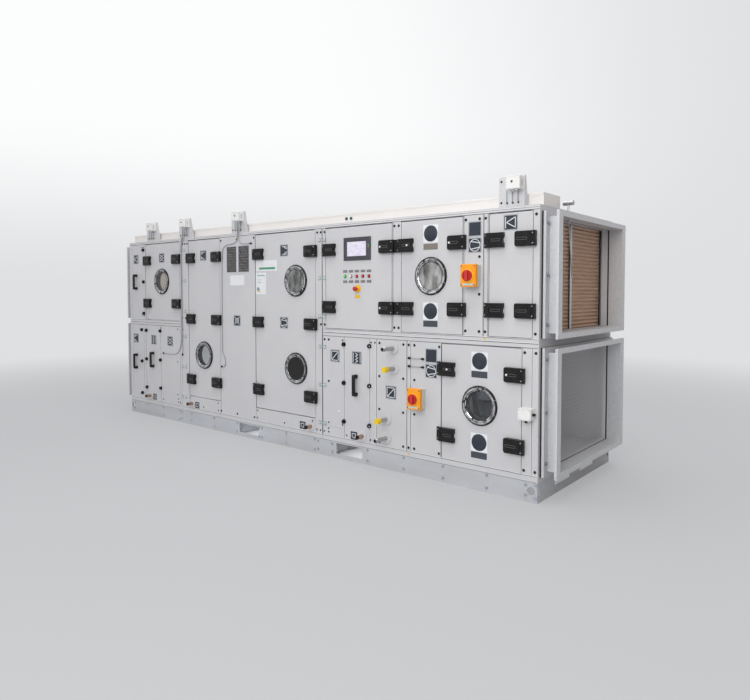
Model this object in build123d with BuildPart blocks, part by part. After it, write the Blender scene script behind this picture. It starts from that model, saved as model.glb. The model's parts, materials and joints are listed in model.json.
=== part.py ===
"""Air handling unit on a base frame: three casing modules, seven hinged doors, two fans, four duct collars."""
import os
from math import radians, tan
from build123d import *

os.makedirs("parts", exist_ok=True)

# Driving dimensions, millimetres. X runs right along the front, Y runs back, Z runs up from the floor.
# The origin is on the floor in the middle of the casing.

# Casing
right_module = 2068
middle_module = 2200
left_module = 1097
casing_depth = 1420
wall = 50
module_gap = 2
post = 48
fit = 0.3
panel_edge = 2
rail_groove = 3

# Heights from the floor up
base_height = 143
bottom_rail = 41
lower_opening = 895
middle_rail = 64
upper_opening = 892
top_rail = 35
drip_cover_height = 134
low_cover_height = 87

# Front bays of the right module, upper level, from the right end
filter_door_width = 347
filter_mullion = 42
isolator_bay = 168
fan_door_width = 586
cabinet_mullion = 83
cabinet_door_width = 759

# Front bays of the right module, lower level, from the right end
end_bay = 76
lower_fan_door_width = 675
lower_isolator_bay = 292
lower_mullion = 36
stub_bay = 315
stub_mullion = 75
filter_bay = 291

# Front bays of the middle module, from its right end
door_3_mullion = 89
door_3_width = 837
info_bay = 569
door_2_width = 567

# Front bays of the left module, from its right end
door_1_mullion = 33
door_1_width = 712
left_lower_mullion = 35
left_lower_bay = 398
left_filter_bay = 313
left_filter_mullion = 49

# Doors
door_gap = 6.5
door_lip = 12
door_step = 20
window_hole_radius = 135
window_ring_radius = 149
window_clear_radius = 112
window_ring_height = 12
window_ring_edge = 8
window_seat = 6
door_3_window_shift = 163
door_1_window_z = 1593
door_2_window_z = 789
door_3_upper_window_z = 1575
door_3_lower_window_z = 757
fan_window_z = 1593
lower_fan_window_z = 632

# Hinges and latches
pad_height = 105
pad_thickness = 35
pad_width = 158
pad_overhang = 28
pad_inset = 195
pad_edge = 2.5
pad_notch_radius = 30
pad_notch_depth = 10
pin_depth = 18
pin_inset = 3
knuckle_radius = 16.5
knuckle_gap = 0.6
leaf_gap = 0.4
swing_gap = 2.5
latch_lift = 5
latch_taper = 40
latch_nose = 26
latch_corner = 16
latch_strip = 20
latch_strip_inset = 7
latch_strip_depth = 3

# Base frame
rail_depth = 60
sheet = 5
fork_pocket_width = 303
fork_pocket_bottom = 40
fork_pocket_top = 133
fork_pocket_1_right = 2956
fork_pocket_2_right = 1600
lift_hole_radius = 27.5
lift_hole_inset = 47
lift_hole_z = 82
end_slot_width = 285
end_slot_height = 62
end_slot_z = 90
end_slot_1_y = 436
end_slot_2_y = 912
cross_member_width = 60
corner_slot_length = 62
corner_slot_width = 20
corner_slot_inset = 30

# Duct collars
collar_top_inset = 44
collar_bottom_inset = 37
collar_upper_bottom = 1148
collar_lower_top = 1083
collar_side_inset = 32
collar_side_lip = 62
collar_level_lip = 35
gasket = 12
collar_ring = 18
collar_web = 76
collar_sheet = 3

# Filter and mesh behind the right collars
filter_plane = 70
filter_depth = 48
filter_frame_edge = 32
filter_post = 38
filter_post_y = 714
pleat_pitch = 30
pleat_depth = 25
mesh_wire = 4
mesh_inset = 24
mesh_columns = 24
mesh_rows = 16

# Fans
impeller_radius = 280
impeller_width = 170
eye_radius = 185
inlet_radius = 176
inlet_height = 84
bell_bend = 50
bell_flange = 18
plate = 4
blade_count = 7
blade_inner_radius = 192
blade_outer_x = 222
blade_outer_y = 148
blade_bulge_x = 226
blade_bulge_y = 66
shaft_radius = 20
shaft_clearance = 0.1
hub_radius = 60
motor_radius = 95
motor_length = 190
motor_gap = 0.5
stand_width = 240
stand_thickness = 30
stand_foot = 150
terminal_box = 70
fan_entry = 8

# Operator panel, lamps and stop button on the cabinet door
display_width = 303
display_height = 196
display_depth = 12
display_centre = 1653.5
display_z = 1838
display_edge = 4
screen_width = 228
screen_height = 152
screen_shift = 22
screen_depth = 1.5
lamp_pitch = 67.25
lamp_count = 5
lamp_centre = 1658
lamp_z = 1604
lamp_radius = 15
lamp_height = 18
lamp_bezel_height = 6
lamp_lens_radius = 12
lamp_dome = 4
stop_centre = 1649
stop_z = 1497
stop_disc_radius = 32.5
stop_disc_thickness = 6
stop_collar_radius = 18
stop_collar_height = 12
stop_stem_radius = 11
stop_bore_clearance = 0.3
stop_head_radius = 20
stop_head_front = 50
stop_head_back = 34
stop_stem_end = 9
stop_dome = 5
stop_neck_radius = 14
cabinet_depth = 300
cabinet_wall = 20
din_rail_height = 35
din_rail_depth = 8
din_rail_count = 3
device_count = 9
device_width = 45
device_height = 90
device_depth = 62
wire_duct_width = 40
wire_duct_depth = 60
cabinet_margin = 12

# Isolators
isolator_width = 129
isolator_height = 167
isolator_body_depth = 52
isolator_plate = 28
isolator_step = 3
isolator_corner = 7
isolator_edge = 3
isolator_ring_radius = 48
isolator_ring_height = 6
isolator_knob_radius = 42
isolator_knob_depth = 12
isolator_knob_gap = 0.5
isolator_grip_depth = 22
isolator_grip_width = 17
isolator_z = 1590
isolator_centre = 519.5
lower_isolator_centre = 1006.5
lower_isolator_z = 631.5
spindle_radius = 6
spindle_clearance = 0.3

# Front fittings
handle_height = 185
handle_width = 30
handle_reach = 48
handle_bar = 14
handle_foot = 30
handle_corner = 14
handle_edge = 4
handle_places = [(1665, 670), (5210, 1592), (5225, 631), (4857, 673)]
knob_radius = 20
knob_height = 22
knob_flange = 6
knob_stem_radius = 13
knob_wing_length = 36
knob_wing_width = 11
knob_post_offset = 38
knob_seam_offset = 14
knob_door_offset = 35
left_post_knobs = [1017, 639, 255]
left_seam_knobs = [1014, 672, 333]
left_bay_knobs = [1017, 679, 349]
upper_left_knobs = [1972, 1592, 1215]
filter_panel_knobs = [1015, 678, 339]
junction_width = 95
junction_height = 83
junction_depth = 60
junction_centre = 75
junction_z = 624
junction_corner = 6
gland_radius = 9
gland_length = 20
stub_radius = 17
stub_bore_radius = 14
stub_length = 150
cap_front = 138
cap_radius = 24
cap_length = 40
cap_wall = 4
open_stubs = [(1261, 1011), (1336, 263)]
capped_stubs = [(1258, 846), (1334, 420)]
rosette_radius = 50
rosette_thickness = 9
rosette_edge = 4
drain_radius = 17
drain_bore_radius = 13.5
drain_rosette_radius = 46
drain_rosette_thickness = 5
drain_length = 70
drain_z = 240
drain_places = [4920, 4075, 2218, 1596]

# Roof
trunking_width = 274
trunking_height = 90
trunking_front = 74
trunking_right = 8
trunking_lid = 8
trunking_lid_overhang = 3
trunking_seam = 2
trunking_seam_count = 2
bracket_width = 197
bracket_height = 211
bracket_front = 5
bracket_sheet = 4
bracket_flange = 22
bracket_places = [4970, 4300, 3366, 316]
bracket_depth = 60
sensor_width = 104
sensor_height = 92
sensor_depth = 65
sensor_corner = 6
sensor_edge = 3
sensor_margin = 6
sensor_nipple_radius = 4.5
sensor_nipple_length = 12
sensor_nipple_depth = 33
sensor_nipple_pitch = 30
sensor_lift = 112
probe_y = 338
probe_x = 60
probe_head_length = 75
probe_head_radius = 17
probe_head_z = 2106
probe_stem_radius = 7
probe_gland_height = 8
probe_rod_radius = 4
probe_rod_end_z = 1579
probe_rod_end_y = 415

# Measuring tubes: X from the right end, distance out from the front, height
tube_radius = 4
tube_axis = 8
run_share = 0.45
fitting_radius = 9
fitting_height = 16
barb_radius = 4.5
barb_length = 12
nipple_drop = 30
left_tube_route = [
    (3256, 8, 2070), (3262, 8, 1990), (3322, 8, 1962), (3440, 8, 1957), (3506, 8, 1920), (3520, 8, 1740),
    (3524, 8, 840), (3482, 8, 790), (3468, 8, 735), (3490, 8, 690)
]
left_tube_fitting = (3536, 690)
right_tube_route = [(3242, 8, 2070), (3240, 8, 2000), (3218, 8, 1966), (3178, 8, 1952)]
right_tube_fitting = (3050, 1952)
seam_tube_route = [(4250, 8, 2056), (4263, 8, 1960), (4263, 8, 900), (4325, 8, 790), (4410, 8, 762)]
seam_tube_fitting = (4634, 762)
side_tube_route = [(4234, 8, 2056), (4249, 8, 1960)]
side_tube_fitting = (4249, 768)
bridge_fittings = (1099, 965)
bridge_heights = (943, 878)

# Derived lengths and planes
casing_length = right_module + middle_module + left_module
right_end = casing_length / 2
left_end = -right_end
front = -casing_depth / 2
back = casing_depth / 2
floor_top = base_height + bottom_rail
deck_bottom = floor_top + lower_opening
deck_top = deck_bottom + middle_rail
roof_bottom = deck_top + upper_opening
casing_top = roof_bottom + top_rail
right_split = right_end - right_module
left_split = right_split - middle_module
tall_bottom = floor_top + drip_cover_height
inner_front = front + wall
inner_back = back - wall

right_span = (right_split + module_gap / 2, right_end)
middle_span = (left_split + module_gap / 2, right_split - module_gap / 2)
left_span = (left_end, left_split - module_gap / 2)
module_spans = [right_span, middle_span, left_span]
two_level_spans = [right_span, left_span]


def from_right(distance):
    """X of a point that lies this far from the right end of the casing."""
    return right_end - distance


def slab(x_span, y_span, z_span, mode=Mode.ADD):
    """A rectangular block between two X, two Y and two Z planes, in the part being built."""
    size = [span[1] - span[0] for span in (x_span, y_span, z_span)]
    centre = [(span[0] + span[1]) / 2 for span in (x_span, y_span, z_span)]
    with Locations(tuple(centre)):
        Box(size[0], size[1], size[2], mode=mode)


def rod_y(x, z, radius, y_span, mode=Mode.ADD):
    """A round bar along Y."""
    with Locations(Location((x, (y_span[0] + y_span[1]) / 2, z), (90, 0, 0))):
        Cylinder(radius, y_span[1] - y_span[0], mode=mode)


def rod_x(y, z, radius, x_span, mode=Mode.ADD):
    """A round bar along X."""
    with Locations(Location(((x_span[0] + x_span[1]) / 2, y, z), (0, 90, 0))):
        Cylinder(radius, x_span[1] - x_span[0], mode=mode)


def rod_z(x, y, radius, z_span, mode=Mode.ADD):
    """A round bar along Z."""
    with Locations((x, y, (z_span[0] + z_span[1]) / 2)):
        Cylinder(radius, z_span[1] - z_span[0], mode=mode)


def save(piece, name):
    """Label a finished piece and write it to its own file."""
    piece.part.label = name
    export_step(piece.part, f"parts/{name}.step")


def turned(x, z, outline, mode=Mode.ADD):
    """A turned piece on an axis along Y, from pairs of radius and distance out from the front."""
    with BuildSketch(Plane.XY.offset(z)) as half:
        with BuildLine():
            Polyline(*[(x + radius, front - distance) for radius, distance in outline], close=True)
        make_face()
    revolve(half.sketch, axis=Axis((x, 0, z), (0, 1, 0)), mode=mode)


def front_plane(distance):
    """The plane that looks out of the front, this far in front of it."""
    return Plane.XZ.offset(distance - front)


def foremost_edges(part):
    """The edges of the flat faces that stand furthest out at the front."""
    return part.faces().filter_by(Axis.Y).group_by(Axis.Y)[0].edges()


# Front bay edges, each the X of one seam
end_post_edge = from_right(post)
filter_door_span = (end_post_edge - filter_door_width, end_post_edge)
upper_isolator_right = filter_door_span[0] - filter_mullion
fan_door_right = upper_isolator_right - isolator_bay
fan_door_span = (fan_door_right - fan_door_width, fan_door_right)
cabinet_right = fan_door_span[0] - cabinet_mullion
cabinet_span = (cabinet_right - cabinet_door_width, cabinet_right)
lower_fan_door_right = end_post_edge - end_bay
lower_fan_door_span = (lower_fan_door_right - lower_fan_door_width, lower_fan_door_right)
lower_isolator_left = lower_fan_door_span[0] - lower_isolator_bay
stub_right = lower_isolator_left - lower_mullion
stub_left = stub_right - stub_bay
filter_right = stub_left - stub_mullion
filter_left = filter_right - filter_bay
door_3_right = right_split - door_3_mullion
door_3_span = (door_3_right - door_3_width, door_3_right)
info_left = door_3_span[0] - info_bay
door_2_span = (info_left - door_2_width, info_left)
door_1_right = left_split - door_1_mullion
door_1_span = (door_1_right - door_1_width, door_1_right)
left_post_edge = left_end + post
left_lower_right = left_split - left_lower_mullion
left_lower_edge = left_lower_right - left_lower_bay
left_filter_edge = left_lower_edge - left_filter_bay
left_filter_left = left_filter_edge - left_filter_mullion

upper_level = (deck_top, roof_bottom)
lower_level = (floor_top, deck_bottom)
full_level = (floor_top, roof_bottom)
tall_level = (tall_bottom, roof_bottom)
front_wall = (front, inner_front)
back_wall = (inner_back, back)

# Base frame: folded channels, web outside, end webs that close the corners
fork_pockets = [from_right(fork_pocket_1_right), from_right(fork_pocket_2_right)]
fork_level = (fork_pocket_bottom, fork_pocket_top)
side_rail_span = (left_end + sheet, right_end - sheet)


def channel_along_x(face, inward):
    """One long base rail: an upright web with a flange at the top and at the bottom."""
    web = sorted((face, face + inward * sheet))
    flange = sorted((face, face + inward * rail_depth))
    slab(side_rail_span, web, (0, base_height))
    slab(side_rail_span, flange, (0, sheet))
    slab(side_rail_span, flange, (base_height - sheet, base_height))
    for pocket_right in fork_pockets:
        slab((pocket_right - fork_pocket_width, pocket_right), web, fork_level, Mode.SUBTRACT)
    for x in (left_end + lift_hole_inset, right_end - lift_hole_inset):
        rod_y(x, lift_hole_z, lift_hole_radius, web, Mode.SUBTRACT)


with BuildPart() as base_side_rails:
    channel_along_x(front, 1)
    channel_along_x(back, -1)
save(base_side_rails, "base_side_rails")

end_rail_span = (front + rail_depth, back - rail_depth)
end_slot_places = [(front + end_slot_1_y, end_slot_z), (front + end_slot_2_y, end_slot_z)]
corner_slot_places = [(front + corner_slot_inset, lift_hole_z), (back - corner_slot_inset, lift_hole_z)]
with BuildPart() as base_end_rails:
    for face, inward in ((right_end, -1), (left_end, 1)):
        web = sorted((face, face + inward * sheet))
        flange = sorted((face, face + inward * rail_depth))
        slab(web, (front, back), (0, base_height))
        slab(flange, end_rail_span, (0, sheet))
        slab(flange, end_rail_span, (base_height - sheet, base_height))
        with BuildSketch(Plane.YZ.offset(web[0])) as cut_outs:
            with Locations(*end_slot_places):
                Rectangle(end_slot_width, end_slot_height)
            with Locations(*corner_slot_places):
                SlotOverall(corner_slot_length, corner_slot_width, rotation=90)
        extrude(cut_outs.sketch, amount=sheet, mode=Mode.SUBTRACT)
save(base_end_rails, "base_end_rails")

# Cross members: one under the middle of the casing, two under each module split, one at each pocket side
member_centres = [0]
for split in (right_split, left_split):
    member_centres.append(split + cross_member_width)
    member_centres.append(split - cross_member_width)
member_centres.append(fork_pockets[0] - fork_pocket_width - cross_member_width)
member_centres.append(fork_pockets[1] + cross_member_width)
member_centres.append((fork_pockets[1] + right_end) / 2 + cross_member_width)
member_places = [(x, base_height / 2) for x in member_centres]
with BuildPart() as base_cross_members:
    with BuildSketch(Plane.XZ.offset(rail_depth - back)) as channels:
        with Locations(*member_places):
            Rectangle(cross_member_width, base_height)
        with Locations(*[(x + sheet, z) for x, z in member_places]):
            Rectangle(cross_member_width, base_height - 2 * sheet, mode=Mode.SUBTRACT)
    extrude(channels.sketch, amount=end_rail_span[1] - end_rail_span[0])
save(base_cross_members, "base_cross_members")

# Casing frame: rails along the front and back of each module, a groove where two levels meet
with BuildPart() as frame_rails:
    for span in module_spans:
        for side in (front_wall, back_wall):
            slab(span, side, (base_height, floor_top))
            slab(span, side, (roof_bottom, casing_top))
    for span in two_level_spans:
        for side in (front_wall, back_wall):
            slab(span, side, (deck_bottom, deck_top))
        groove_middle = (deck_bottom + deck_top) / 2
        groove_level = (groove_middle - rail_groove / 2, groove_middle + rail_groove / 2)
        slab(span, (front, front + rail_groove), groove_level, Mode.SUBTRACT)
save(frame_rails, "frame_rails")

upper_posts = [
    (end_post_edge, right_end),
    (upper_isolator_right, filter_door_span[0]),
    (cabinet_span[1], fan_door_span[0]),
    (right_span[0], cabinet_span[0]),
    (door_1_span[1], left_span[1]),
    (left_end, left_post_edge),
]
lower_posts = [
    (end_post_edge, right_end),
    (stub_right, lower_isolator_left),
    (filter_right, stub_left),
    (left_lower_right, left_span[1]),
    (left_filter_left, left_filter_edge),
    (left_end, left_post_edge),
]
full_posts = [(door_3_span[1], middle_span[1]), (middle_span[0], door_2_span[0])]
with BuildPart() as frame_posts:
    for span in upper_posts:
        slab(span, front_wall, upper_level)
    for span in lower_posts:
        slab(span, front_wall, lower_level)
    for span in full_posts:
        slab(span, front_wall, full_level)
    for span in two_level_spans:
        for level in (lower_level, upper_level):
            slab((span[0], span[0] + post), back_wall, level)
            slab((span[1] - post, span[1]), back_wall, level)
    slab((middle_span[0], middle_span[0] + post), back_wall, full_level)
    slab((middle_span[1] - post, middle_span[1]), back_wall, full_level)
save(frame_posts, "frame_posts")

# Roof, floor and the deck between the levels, each one slab a module
inside_depth = (inner_front, inner_back)
with BuildPart() as roof_panels:
    for span in module_spans:
        slab(span, inside_depth, (roof_bottom, casing_top))
save(roof_panels, "roof_panels")

with BuildPart() as floor_panels:
    for span in module_spans:
        slab(span, inside_depth, (base_height, floor_top))
save(floor_panels, "floor_panels")

with BuildPart() as mid_deck:
    for span in two_level_spans:
        slab(span, inside_depth, (deck_bottom, deck_top))
save(mid_deck, "mid_deck")


def inset(span, amount):
    """A span made shorter by the same amount at both ends."""
    return (span[0] + amount, span[1] - amount)


# Back wall: two equal panels a module, one on the short left module
with BuildPart() as back_panels:
    for span in two_level_spans:
        for level in (lower_level, upper_level):
            clear = inset(span, post)
            middle = (clear[0] + clear[1]) / 2
            slab(inset((clear[0], middle), fit), back_wall, inset(level, fit))
            slab(inset((middle, clear[1]), fit), back_wall, inset(level, fit))
    clear = inset(middle_span, post)
    middle = (clear[0] + clear[1]) / 2
    slab(inset((clear[0], middle), fit), back_wall, inset(full_level, fit))
    slab(inset((middle, clear[1]), fit), back_wall, inset(full_level, fit))
save(back_panels, "back_panels")

# Fixed front panels, each with a small bevel that makes the seam
with BuildPart() as front_panels:
    for span, level in (
        ((upper_isolator_right - isolator_bay, upper_isolator_right), upper_level),
        ((lower_fan_door_right, end_post_edge), lower_level),
        ((lower_isolator_left, lower_fan_door_span[0]), lower_level),
        ((stub_left, stub_right), lower_level),
        ((filter_left, filter_right), lower_level),
        ((right_span[0], filter_left), (floor_top + low_cover_height, deck_bottom)),
        ((info_left, door_3_span[0]), full_level),
        ((left_post_edge, door_1_span[0]), upper_level),
        ((left_lower_edge, left_lower_right), lower_level),
        ((left_filter_edge, left_lower_edge), lower_level),
        ((left_post_edge, left_filter_left), lower_level),
    ):
        slab(inset(span, fit), front_wall, inset(level, fit))
    chamfer(foremost_edges(front_panels), panel_edge)
save(front_panels, "front_panels")

# Drip-tray covers below the tall doors and beside the lower filter panel
with BuildPart() as drip_covers:
    for span, top in (
        (door_2_span, tall_bottom),
        (door_3_span, tall_bottom),
        ((right_span[0], filter_left), floor_top + low_cover_height),
    ):
        slab(inset(span, fit), front_wall, (floor_top + fit, top - fit))
    chamfer(foremost_edges(drip_covers), panel_edge)
save(drip_covers, "drip_covers")

# Duct collars: gasket, inner ring, web and outer ring, seen along X
collar_y_span = (front + collar_side_inset, back - collar_side_inset)
upper_collar_z = (collar_upper_bottom, casing_top - collar_top_inset)
lower_collar_z = (base_height + collar_bottom_inset, collar_lower_top)
collar_levels = [upper_collar_z, lower_collar_z]
web_y_span = inset(collar_y_span, collar_side_lip)
duct_y_span = inset(web_y_span, collar_sheet)


def duct_level(level):
    """Height span of the clear duct inside a collar."""
    return inset(level, collar_level_lip + collar_sheet)


def collar(face, outward, level):
    """One folded sheet collar that stands out from an end of the casing."""
    start = face + outward * gasket
    ring_1 = sorted((start, start + outward * collar_ring))
    web = sorted((start, start + outward * (2 * collar_ring + collar_web)))
    ring_2_start = start + outward * (collar_ring + collar_web)
    ring_2 = sorted((ring_2_start, ring_2_start + outward * collar_ring))
    slab(ring_1, collar_y_span, level)
    slab(ring_2, collar_y_span, level)
    slab(web, web_y_span, inset(level, collar_level_lip))
    slab(web, duct_y_span, duct_level(level), Mode.SUBTRACT)


with BuildPart() as right_collars:
    for level in collar_levels:
        collar(right_end, 1, level)
save(right_collars, "right_collars")

with BuildPart() as left_collars:
    for level in collar_levels:
        collar(left_end, -1, level)
save(left_collars, "left_collars")

with BuildPart() as collar_gaskets:
    for face, outward in ((right_end, 1), (left_end, -1)):
        gasket_span = sorted((face, face + outward * gasket))
        for level in collar_levels:
            slab(gasket_span, collar_y_span, level)
            slab(gasket_span, duct_y_span, duct_level(level), Mode.SUBTRACT)
save(collar_gaskets, "collar_gaskets")

# End walls with the duct openings
end_walls = [(right_end - wall, right_end), (left_end, left_end + wall)]
with BuildPart() as end_panels:
    for wall_span in end_walls:
        for level, duct in ((upper_level, upper_collar_z), (lower_level, lower_collar_z)):
            slab(wall_span, inset(inside_depth, fit), inset(level, fit))
            slab(wall_span, duct_y_span, duct_level(duct), Mode.SUBTRACT)
save(end_panels, "end_panels")

# Mesh guard in the lower right duct opening: a flat lattice of welded wires
mesh_y = inset(duct_y_span, fit)
mesh_z = inset(duct_level(lower_collar_z), fit)
mesh_width = mesh_y[1] - mesh_y[0]
mesh_height = mesh_z[1] - mesh_z[0]
hole_width = (mesh_width - mesh_wire) / mesh_columns - mesh_wire
hole_height = (mesh_height - mesh_wire) / mesh_rows - mesh_wire
mesh_middle = (right_end - mesh_inset, 0, (mesh_z[0] + mesh_z[1]) / 2)
mesh_plane = Plane(origin=mesh_middle, x_dir=(0, 1, 0), z_dir=(1, 0, 0))
with BuildPart() as mesh_guard:
    with BuildSketch(mesh_plane):
        Rectangle(mesh_width, mesh_height)
        with GridLocations(hole_width + mesh_wire, hole_height + mesh_wire, mesh_columns, mesh_rows):
            Rectangle(hole_width, hole_height, mode=Mode.SUBTRACT)
    extrude(amount=mesh_wire)
save(mesh_guard, "mesh_guard")

# Filter bank behind the upper right opening
filter_x = (right_end - filter_plane - filter_depth, right_end - filter_plane)
filter_y = inset(inside_depth, fit)
filter_z = inset(upper_level, fit)
filter_cells = [
    (filter_y[0] + filter_frame_edge, front + filter_post_y - filter_post / 2),
    (front + filter_post_y + filter_post / 2, filter_y[1] - filter_frame_edge),
]
cell_z = inset(filter_z, filter_frame_edge)
with BuildPart() as filter_frame:
    slab(filter_x, filter_y, filter_z)
    for cell in filter_cells:
        slab(filter_x, cell, cell_z, Mode.SUBTRACT)
save(filter_frame, "filter_frame")

pleat_count = int((cell_z[1] - cell_z[0]) / pleat_pitch)
pleat_step = (cell_z[1] - cell_z[0] - 2 * fit) / pleat_count
pleat_back = filter_x[0] + fit
pleat_valley = filter_x[1] - pleat_depth
pleat_peak = filter_x[1] - fit
with BuildPart() as filter_media:
    for cell in filter_cells:
        cell_width = cell[1] - cell[0] - 2 * fit
        with BuildSketch(Plane.XZ.offset(-cell[1] + fit)):
            with BuildLine():
                pleats = [(pleat_back, cell_z[0] + fit)]
                for index in range(pleat_count):
                    pleat_start = cell_z[0] + fit + index * pleat_step
                    pleats.append((pleat_valley, pleat_start))
                    pleats.append((pleat_peak, pleat_start + pleat_step / 2))
                pleats.append((pleat_valley, cell_z[1] - fit))
                pleats.append((pleat_back, cell_z[1] - fit))
                Polyline(*pleats, close=True)
            make_face()
        extrude(amount=cell_width)
save(filter_media, "filter_media")

# Inner walls: fan walls with the inlet holes, cabinet side walls
upper_fan_z = (deck_top + roof_bottom) / 2
lower_fan_z = (floor_top + deck_bottom) / 2
throat_radius = inlet_radius - plate
bell_radius = throat_radius + bell_bend
upper_fan_wall = (fan_door_span[1] + door_gap, fan_door_span[1] + door_gap + wall)
lower_fan_wall = (lower_fan_door_span[0] - door_gap - wall, lower_fan_door_span[0] - door_gap)
cabinet_y = (inner_front, inner_front + cabinet_depth)
cabinet_left_wall = (right_span[0], cabinet_span[0] - door_gap)
cabinet_right_wall = (cabinet_span[1] + door_gap, cabinet_span[1] + door_gap + cabinet_wall)
with BuildPart() as inner_walls:
    slab(upper_fan_wall, inside_depth, upper_level)
    rod_x(0, upper_fan_z, bell_radius, upper_fan_wall, Mode.SUBTRACT)
    slab(lower_fan_wall, inside_depth, lower_level)
    rod_x(0, lower_fan_z, bell_radius, lower_fan_wall, Mode.SUBTRACT)
    slab(cabinet_left_wall, cabinet_y, upper_level)
    slab(cabinet_right_wall, cabinet_y, upper_level)
save(inner_walls, "inner_walls")

# Cabinet back plate with mounting rails, a row of plain devices on each and a wiring duct between the rows
cabinet_clear = (cabinet_left_wall[1], cabinet_right_wall[0])
plate_face = cabinet_y[1] - cabinet_wall
rail_face = plate_face - din_rail_depth
row_span = inset(cabinet_clear, cabinet_margin)
row_pitch = (upper_level[1] - upper_level[0]) / din_rail_count
device_pitch = (row_span[1] - row_span[0]) / device_count
with BuildPart() as mounting_plate:
    slab(cabinet_clear, (plate_face, cabinet_y[1]), upper_level)
    for row in range(din_rail_count):
        row_z = upper_level[0] + (row + 1 / 2) * row_pitch
        slab(row_span, (rail_face, plate_face), (row_z - din_rail_height / 2, row_z + din_rail_height / 2))
        for index in range(device_count):
            device_x = row_span[0] + (index + 1 / 2) * device_pitch
            device_span = (device_x - device_width / 2, device_x + device_width / 2)
            device_level = (row_z - device_height / 2, row_z + device_height / 2)
            slab(device_span, (rail_face - device_depth, rail_face), device_level)
    for row in range(1, din_rail_count):
        duct_z = upper_level[0] + row * row_pitch
        duct_level_span = (duct_z - wire_duct_width / 2, duct_z + wire_duct_width / 2)
        slab(row_span, (plate_face - wire_duct_depth, plate_face), duct_level_span)
save(mounting_plate, "mounting_plate")

# Heat recovery block between the two tall chambers
core_span = (info_left + door_gap, door_3_span[0] - door_gap)
with BuildPart() as recovery_core:
    slab(core_span, inside_depth, full_level)
save(recovery_core, "recovery_core")


with BuildSketch() as blade_profile:
    with BuildLine():
        ThreePointArc((blade_inner_radius, 0), (blade_bulge_x, blade_bulge_y), (blade_outer_x, blade_outer_y))
        offset(amount=plate / 2, side=Side.BOTH)
    make_face()


def impeller(wall_face, direction, z):
    """Backward curved fan wheel whose eye faces the fan wall."""
    eye = wall_face + direction * (inlet_height - fan_entry)
    back_plate = eye + direction * impeller_width
    motor_face = back_plate + direction * plate
    rod_x(0, z, impeller_radius, sorted((back_plate, motor_face)))
    rod_x(0, z, hub_radius, sorted((back_plate - direction * hub_radius, back_plate)))
    shaft_end = motor_face + direction * 2 * shaft_radius
    rod_x(0, z, shaft_radius, sorted((motor_face, shaft_end)))
    eye_plane = Plane(origin=(eye, 0, z), x_dir=(0, 1, 0), z_dir=(direction, 0, 0))
    with BuildSketch(eye_plane) as shroud:
        Circle(impeller_radius)
        Circle(eye_radius, mode=Mode.SUBTRACT)
    extrude(shroud.sketch, amount=plate)
    with BuildSketch(eye_plane.offset(plate)) as blades:
        with PolarLocations(0, blade_count):
            add(blade_profile.sketch)
    extrude(blades.sketch, amount=impeller_width - plate)


def inlet_bell(wall_face, direction, z):
    """Inlet nozzle: a flange on the fan wall that rolls over into the throat of the wheel."""
    half_plane = Plane(origin=(wall_face, 0, z), x_dir=(direction, 0, 0), z_dir=(0, -direction, 0))
    bend_centre = (bell_bend, bell_radius)
    flange_radius = bell_radius + bell_flange
    with BuildSketch(half_plane) as half:
        with BuildLine():
            CenterArc(bend_centre, bell_bend, 180, 90)
            Polyline(
                (bell_bend, throat_radius),
                (inlet_height, throat_radius),
                (inlet_height, inlet_radius),
                (bell_bend, inlet_radius),
            )
            CenterArc(bend_centre, bell_bend - plate, 180, 90)
            Polyline((plate, bell_radius), (plate, flange_radius), (0, flange_radius), (0, bell_radius))
        make_face()
    revolve(half.sketch, axis=Axis((wall_face, 0, z), (1, 0, 0)))


def fan_motor(wall_face, direction, z, floor_level):
    """Motor behind the wheel, its terminal box and the stand that carries it."""
    motor_start = wall_face + direction * (inlet_height - fan_entry + impeller_width + plate + motor_gap)
    motor_end = motor_start + direction * motor_length
    motor_span = sorted((motor_start, motor_end))
    stand_span = sorted((motor_end, motor_end - direction * stand_thickness))
    foot_span = sorted((motor_end, motor_end - direction * stand_foot))
    slab(stand_span, (-stand_width / 2, stand_width / 2), (floor_level, z - motor_radius / 2))
    slab(foot_span, (-stand_width / 2, stand_width / 2), (floor_level, floor_level + stand_thickness))
    rod_x(0, z, motor_radius, motor_span)
    box_middle = (motor_start + motor_end) / 2
    box_span = (box_middle - terminal_box / 2, box_middle + terminal_box / 2)
    slab(box_span, (-motor_radius - terminal_box / 2, 0), (z, z + terminal_box))
    bore_end = motor_start + direction * (2 * shaft_radius + motor_gap)
    rod_x(0, z, shaft_radius + shaft_clearance, sorted((motor_start, bore_end)), Mode.SUBTRACT)


with BuildPart() as fan_sets:
    inlet_bell(upper_fan_wall[0], -1, upper_fan_z)
    fan_motor(upper_fan_wall[0], -1, upper_fan_z, deck_top)
    inlet_bell(lower_fan_wall[1], 1, lower_fan_z)
    fan_motor(lower_fan_wall[1], 1, lower_fan_z, floor_top)
save(fan_sets, "fan_sets")

with BuildPart() as upper_impeller:
    impeller(upper_fan_wall[0], -1, upper_fan_z)
save(upper_impeller, "upper_impeller")

with BuildPart() as lower_impeller:
    impeller(lower_fan_wall[1], 1, lower_fan_z)
save(lower_impeller, "lower_impeller")

# Doors: a lip flush with the front and a thinner body that plugs the opening
pin_y = front - pin_depth


def pad_heights(level, tall=False):
    """Heights of the pads on a door: near the top, near the bottom and halfway up a tall one."""
    heights = [level[0] + pad_inset, level[1] - pad_inset]
    if tall:
        heights.append((level[0] + level[1]) / 2)
    return heights


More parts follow.
